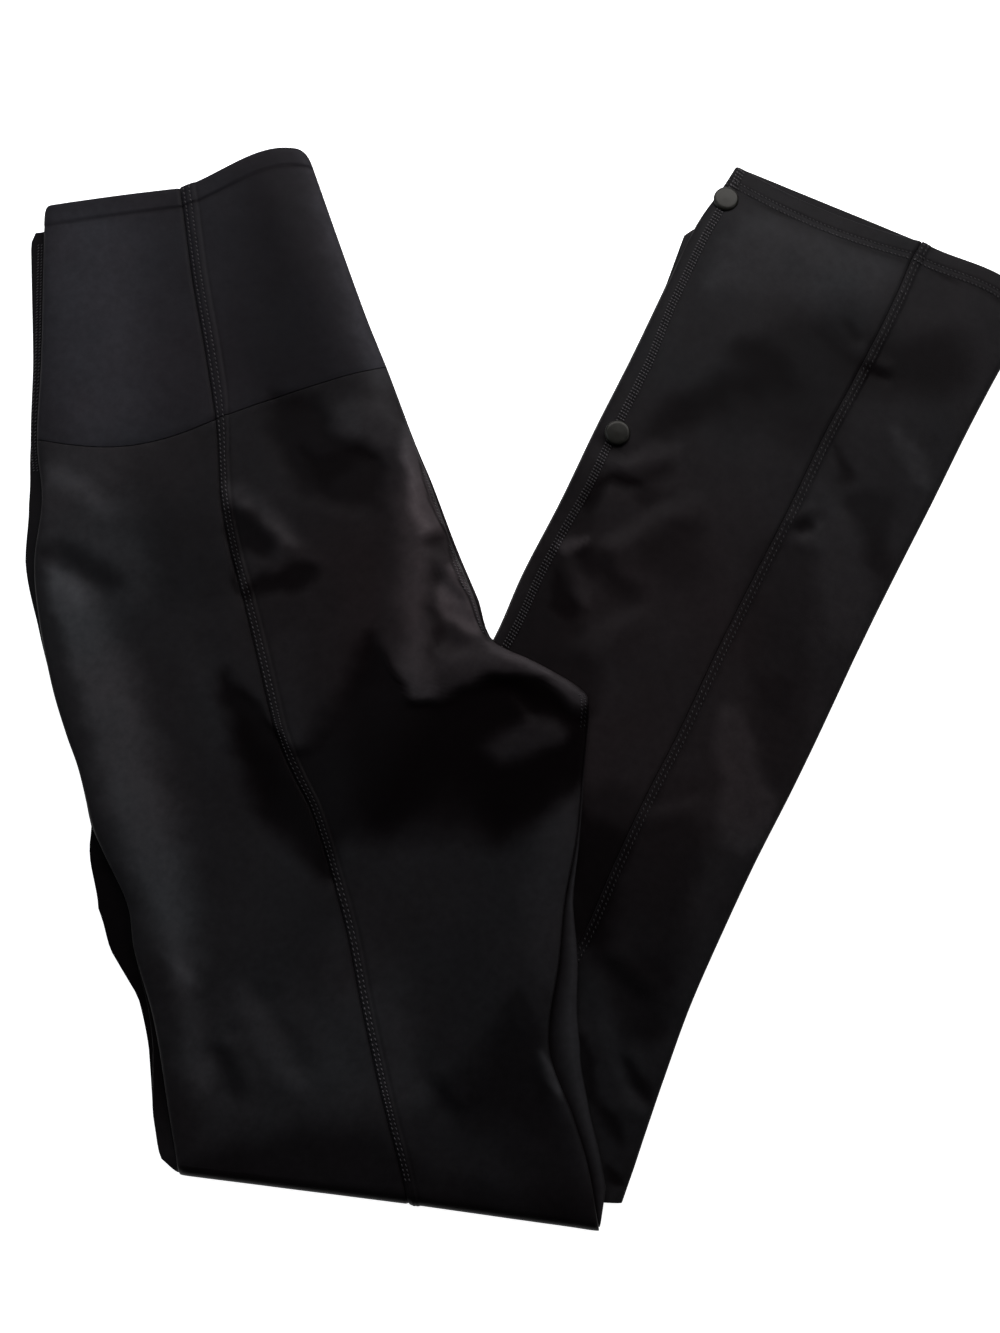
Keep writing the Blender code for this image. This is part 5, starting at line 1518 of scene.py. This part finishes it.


# piece, its rows of stitches, thread radius, zones of the cloth under it, tone (a scale on the
# thread's colour; the side seam's is a painted highlight)
STITCH_SETS = (
    ("mid_seam_stitches",
     [seam_stitches(thigh, 1, on_welt(thigh, share), *MID_SEAM) for share in STITCH_SHARES],
     0.30, THIGH_ZONES, 1.0),
    ("shin_seam_stitches",
     [seam_stitches(shin, 1, on_welt(shin, share), *SHIN_SEAM) for share in SHIN_SEAM_SHARES],
     0.27, SHIN_ZONES, 0.55),
    ("side_seam_stitches",
     [seam_stitches(shin, 0, on_ladder(k), LADDER_START[0] + LADDER_START[1] * k, *LADDER_STITCH)
      for k in LADDER],
     0.33, SHIN_ZONES, 1.55),
    ("hem_stitches",
     [hem_stitches(side, row, *HEM_STITCH) for side in (0, 1) for row in HEM_ROWS],
     0.3, (), 0.85),
    ("rise_stitches",
     [seam_stitches(thigh, 1, inside_rise(inset), first, last, *RISE_STITCH)
      for first, last, inset in RISE_ROWS],
     0.26, THIGH_ZONES, 0.55),
    ("strip_stitches",
     [strip_stitches(outside, *STRIP_STITCH) for outside in STRIP_ROWS],
     0.26, (), 1.0),
)
for name, rows_of_stitches, radius, zones, tone in STITCH_SETS:
    pieces[name] = stitch_mesh(name, rows_of_stitches, radius, zones, tone)


# ---------------------------------------------------------------- cloth cuts
def cut(part, sides, first, last, extra):
    """Width, length and flat area of a piece of cloth between two rows [m]."""
    rows = part.rows(first, last, 4.0)
    across = sum(part.widths(rows)[side] for side in sides)
    along = part.travel(rows)
    area = float(np.sum(0.5 * (across[1:] + across[:-1]) * np.diff(along)) + extra * across[-1])
    length = float(along[-1] - along[0]) + extra
    return (float(across.max()) * MM, length * MM), area * MM * MM


KNEE_LENGTH = 12.4            # cloth from the fold line round to the surface
# piece, part, panels, first row, last row, extra length, what it lies on, pieces on it
SHEETS = (
    ("waistband_side", thigh, (0,), 0.0, 4.0, 0.0, ["thigh_ply_2"], []),
    ("waistband_center", thigh, (1,), 0.0, 4.0, 0.0, ["thigh_ply_2"], []),
    ("thigh_side", thigh, (0,), 4.0, 20.0, KNEE_LENGTH, ["thigh_ply_2"], []),
    ("thigh_center", thigh, (1,), 4.0, 20.0, KNEE_LENGTH, ["thigh_ply_2"],
     ["mid_seam_stitches", "rise_stitches"]),
    ("thigh_ply_2", thigh, (0, 1), 0.06, 20.0, 8.0, ["thigh_ply_3"], []),
    ("thigh_ply_3", thigh, (0, 1), 1.13, 20.0, 4.0, ["thigh_ply_4"], ["strip_stitches"]),
    ("thigh_ply_4", thigh, (0, 1), 1.16, 20.0, 0.0, ["shin_side", "shin_center", "table_top"], []),
    ("shin_side", shin, (0,), 0.0, 15.0, 0.0, ["shin_ply_2"],
     ["side_seam_stitches", "hem_stitches"]),
    ("shin_center", shin, (1,), 0.0, 15.0, 0.0, ["shin_ply_2"], ["shin_seam_stitches"]),
    ("shin_ply_2", shin, (0, 1), 0.05, 14.9, 0.0, ["shin_ply_3"], []),
    ("shin_ply_3", shin, (0, 1), 2.07, 14.9, 0.0, ["shin_ply_4"], []),
    ("shin_ply_4", shin, (0, 1), 2.1, 14.9, 0.0, ["table_top"], []),
)
for name, part, sides, first, last, extra, rests_on, on_it in SHEETS:
    flat, area = cut(part, sides, first, last, extra)


# ---------------------------------------------------------------- press studs
# shares of the cap's radius and height, from the shank up over the rolled rim to the flat face
STUD_PROFILE = (
    (0.55, -0.25), (0.56, 0.02), (0.88, 0.0), (0.96, 0.05), (0.995, 0.14), (1.0, 0.22),
    (0.99, 0.36), (0.965, 0.52), (0.93, 0.65), (0.88, 0.76), (0.82, 0.84), (0.75, 0.885),
    (0.66, 0.905), (0.50, 0.93), (0.30, 0.96), (0.12, 0.99),
)
STUD_SEGMENTS = 64
STUDS = (("snap_cap_hem", 117.0, 244.6), ("snap_cap_calf", 59.3, 119.4))


def build_stud(name, x, y):
    """A flat-faced cap with a rolled rim, on a thin shank."""
    spot = np.array([x]), np.array([y])
    base = float((shin.level(*spot) + shin.relief(*spot))[0])
    base += CAP_LIFT
    vertices = []
    for radius, height in STUD_PROFILE:
        for k in range(STUD_SEGMENTS):
            angle = 2.0 * math.pi * k / STUD_SEGMENTS
            vertices.append((x + CAP_RADIUS * radius * math.cos(angle),
                             y + CAP_RADIUS * radius * math.sin(angle), base + CAP_HEIGHT * height))
    faces = []
    for a in range(0, (len(STUD_PROFILE) - 1) * STUD_SEGMENTS, STUD_SEGMENTS):
        for k in range(STUD_SEGMENTS):
            n = (k + 1) % STUD_SEGMENTS
            faces.append((a + k, a + n, a + STUD_SEGMENTS + n, a + STUD_SEGMENTS + k))
    faces.append(tuple(range(STUD_SEGMENTS - 1, -1, -1)))
    vertices.append((x, y, base + CAP_HEIGHT))
    ring = (len(STUD_PROFILE) - 1) * STUD_SEGMENTS
    for k in range(STUD_SEGMENTS):
        faces.append((ring + k, ring + (k + 1) % STUD_SEGMENTS, len(vertices) - 1))
    made = add_mesh(name + "_metal", vertices, faces, METAL, 60.0)
    return finish_piece(made, [name])


for name, x, y in STUDS:
    pieces[name] = build_stud(name, x, y)

# ---------------------------------------------------------------- floor, light and camera
FLOOR_HALF = 12               # half the side of the pale floor [m]
FLOOR_PLACE = (0.0, 0.0, -0.0003)
WHITE = (1.0, 1.0, 1.0, 1.0)
TARGET = (0.0, 0.0, 0.0)
# name, place [m], size [m], power [W], colour
LIGHTS = (
    ("window_far", (0.15, 0.70, 0.60), (1.0, 0.5), 8.0, (1.0, 0.97, 0.985)),
    ("window_left", (-0.75, 0.25, 0.95), (0.6, 0.6), 2.2, (0.90, 1.0, 1.08)),
    ("lamp_right", (0.9, 0.1, 0.75), (0.5, 0.5), 0.8, (1.0, 0.97, 1.0)),
)
PHOTO_HALF_HEIGHT = 666.5     # pixels
MM_A_PIXEL = 0.49
VIEW_DISTANCE = 640.0         # mm
CAMERA_PLACE = (-0.0146, -0.09397, 0.64177)
CAMERA_TILT = 8.0             # degrees from straight down

floor_mesh = bpy.data.meshes.new("table_top")
floor_mesh.from_pydata([(x * FLOOR_HALF, y * FLOOR_HALF, 0)
                        for x, y in ((-1, -1), (1, -1), (1, 1), (-1, 1))], [], [(0, 1, 2, 3)])
floor = bpy.data.objects.new("table_top", floor_mesh)
floor.location = FLOOR_PLACE
bpy.context.scene.collection.objects.link(floor)
paper = bpy.data.materials.new("pale_table")
paper.use_nodes = True
for key, value in (("Base Color", (0.93, 0.93, 0.93, 1.0)), ("Roughness", 0.9),
                   ("Specular IOR Level", 0.1), ("Emission Color", WHITE),
                   ("Emission Strength", 0.98)):
    paper.node_tree.nodes["Principled BSDF"].inputs[key].default_value = value
floor_mesh.materials.append(paper)

world = bpy.data.worlds.new("soft_room")
world.use_nodes = True
world.node_tree.nodes["Background"].inputs["Color"].default_value = WHITE
world.node_tree.nodes["Background"].inputs["Strength"].default_value = 0.004
bpy.context.scene.world = world

for name, place, size, power, colour in LIGHTS:
    data = bpy.data.lights.new(name, "AREA")
    data.shape = "RECTANGLE"
    data.size, data.size_y = size
    data.energy = power
    data.color = colour
    light = bpy.data.objects.new(name, data)
    light.location = place
    light.rotation_euler = (Vector(TARGET) - Vector(place)).to_track_quat("-Z", "Y").to_euler()
    bpy.context.scene.collection.objects.link(light)

camera_data = bpy.data.cameras.new("camera")
camera = bpy.data.objects.new("camera", camera_data)
camera.location = CAMERA_PLACE
camera.rotation_euler = (math.radians(CAMERA_TILT), 0.0, 0.0)
camera_data.sensor_fit = "VERTICAL"
camera_data.angle = 2.0 * math.atan(PHOTO_HALF_HEIGHT * MM_A_PIXEL / VIEW_DISTANCE)
camera_data.clip_start = 0.01
bpy.context.scene.collection.objects.link(camera)
bpy.context.scene.camera = camera
bpy.context.scene.view_settings.view_transform = "Standard"
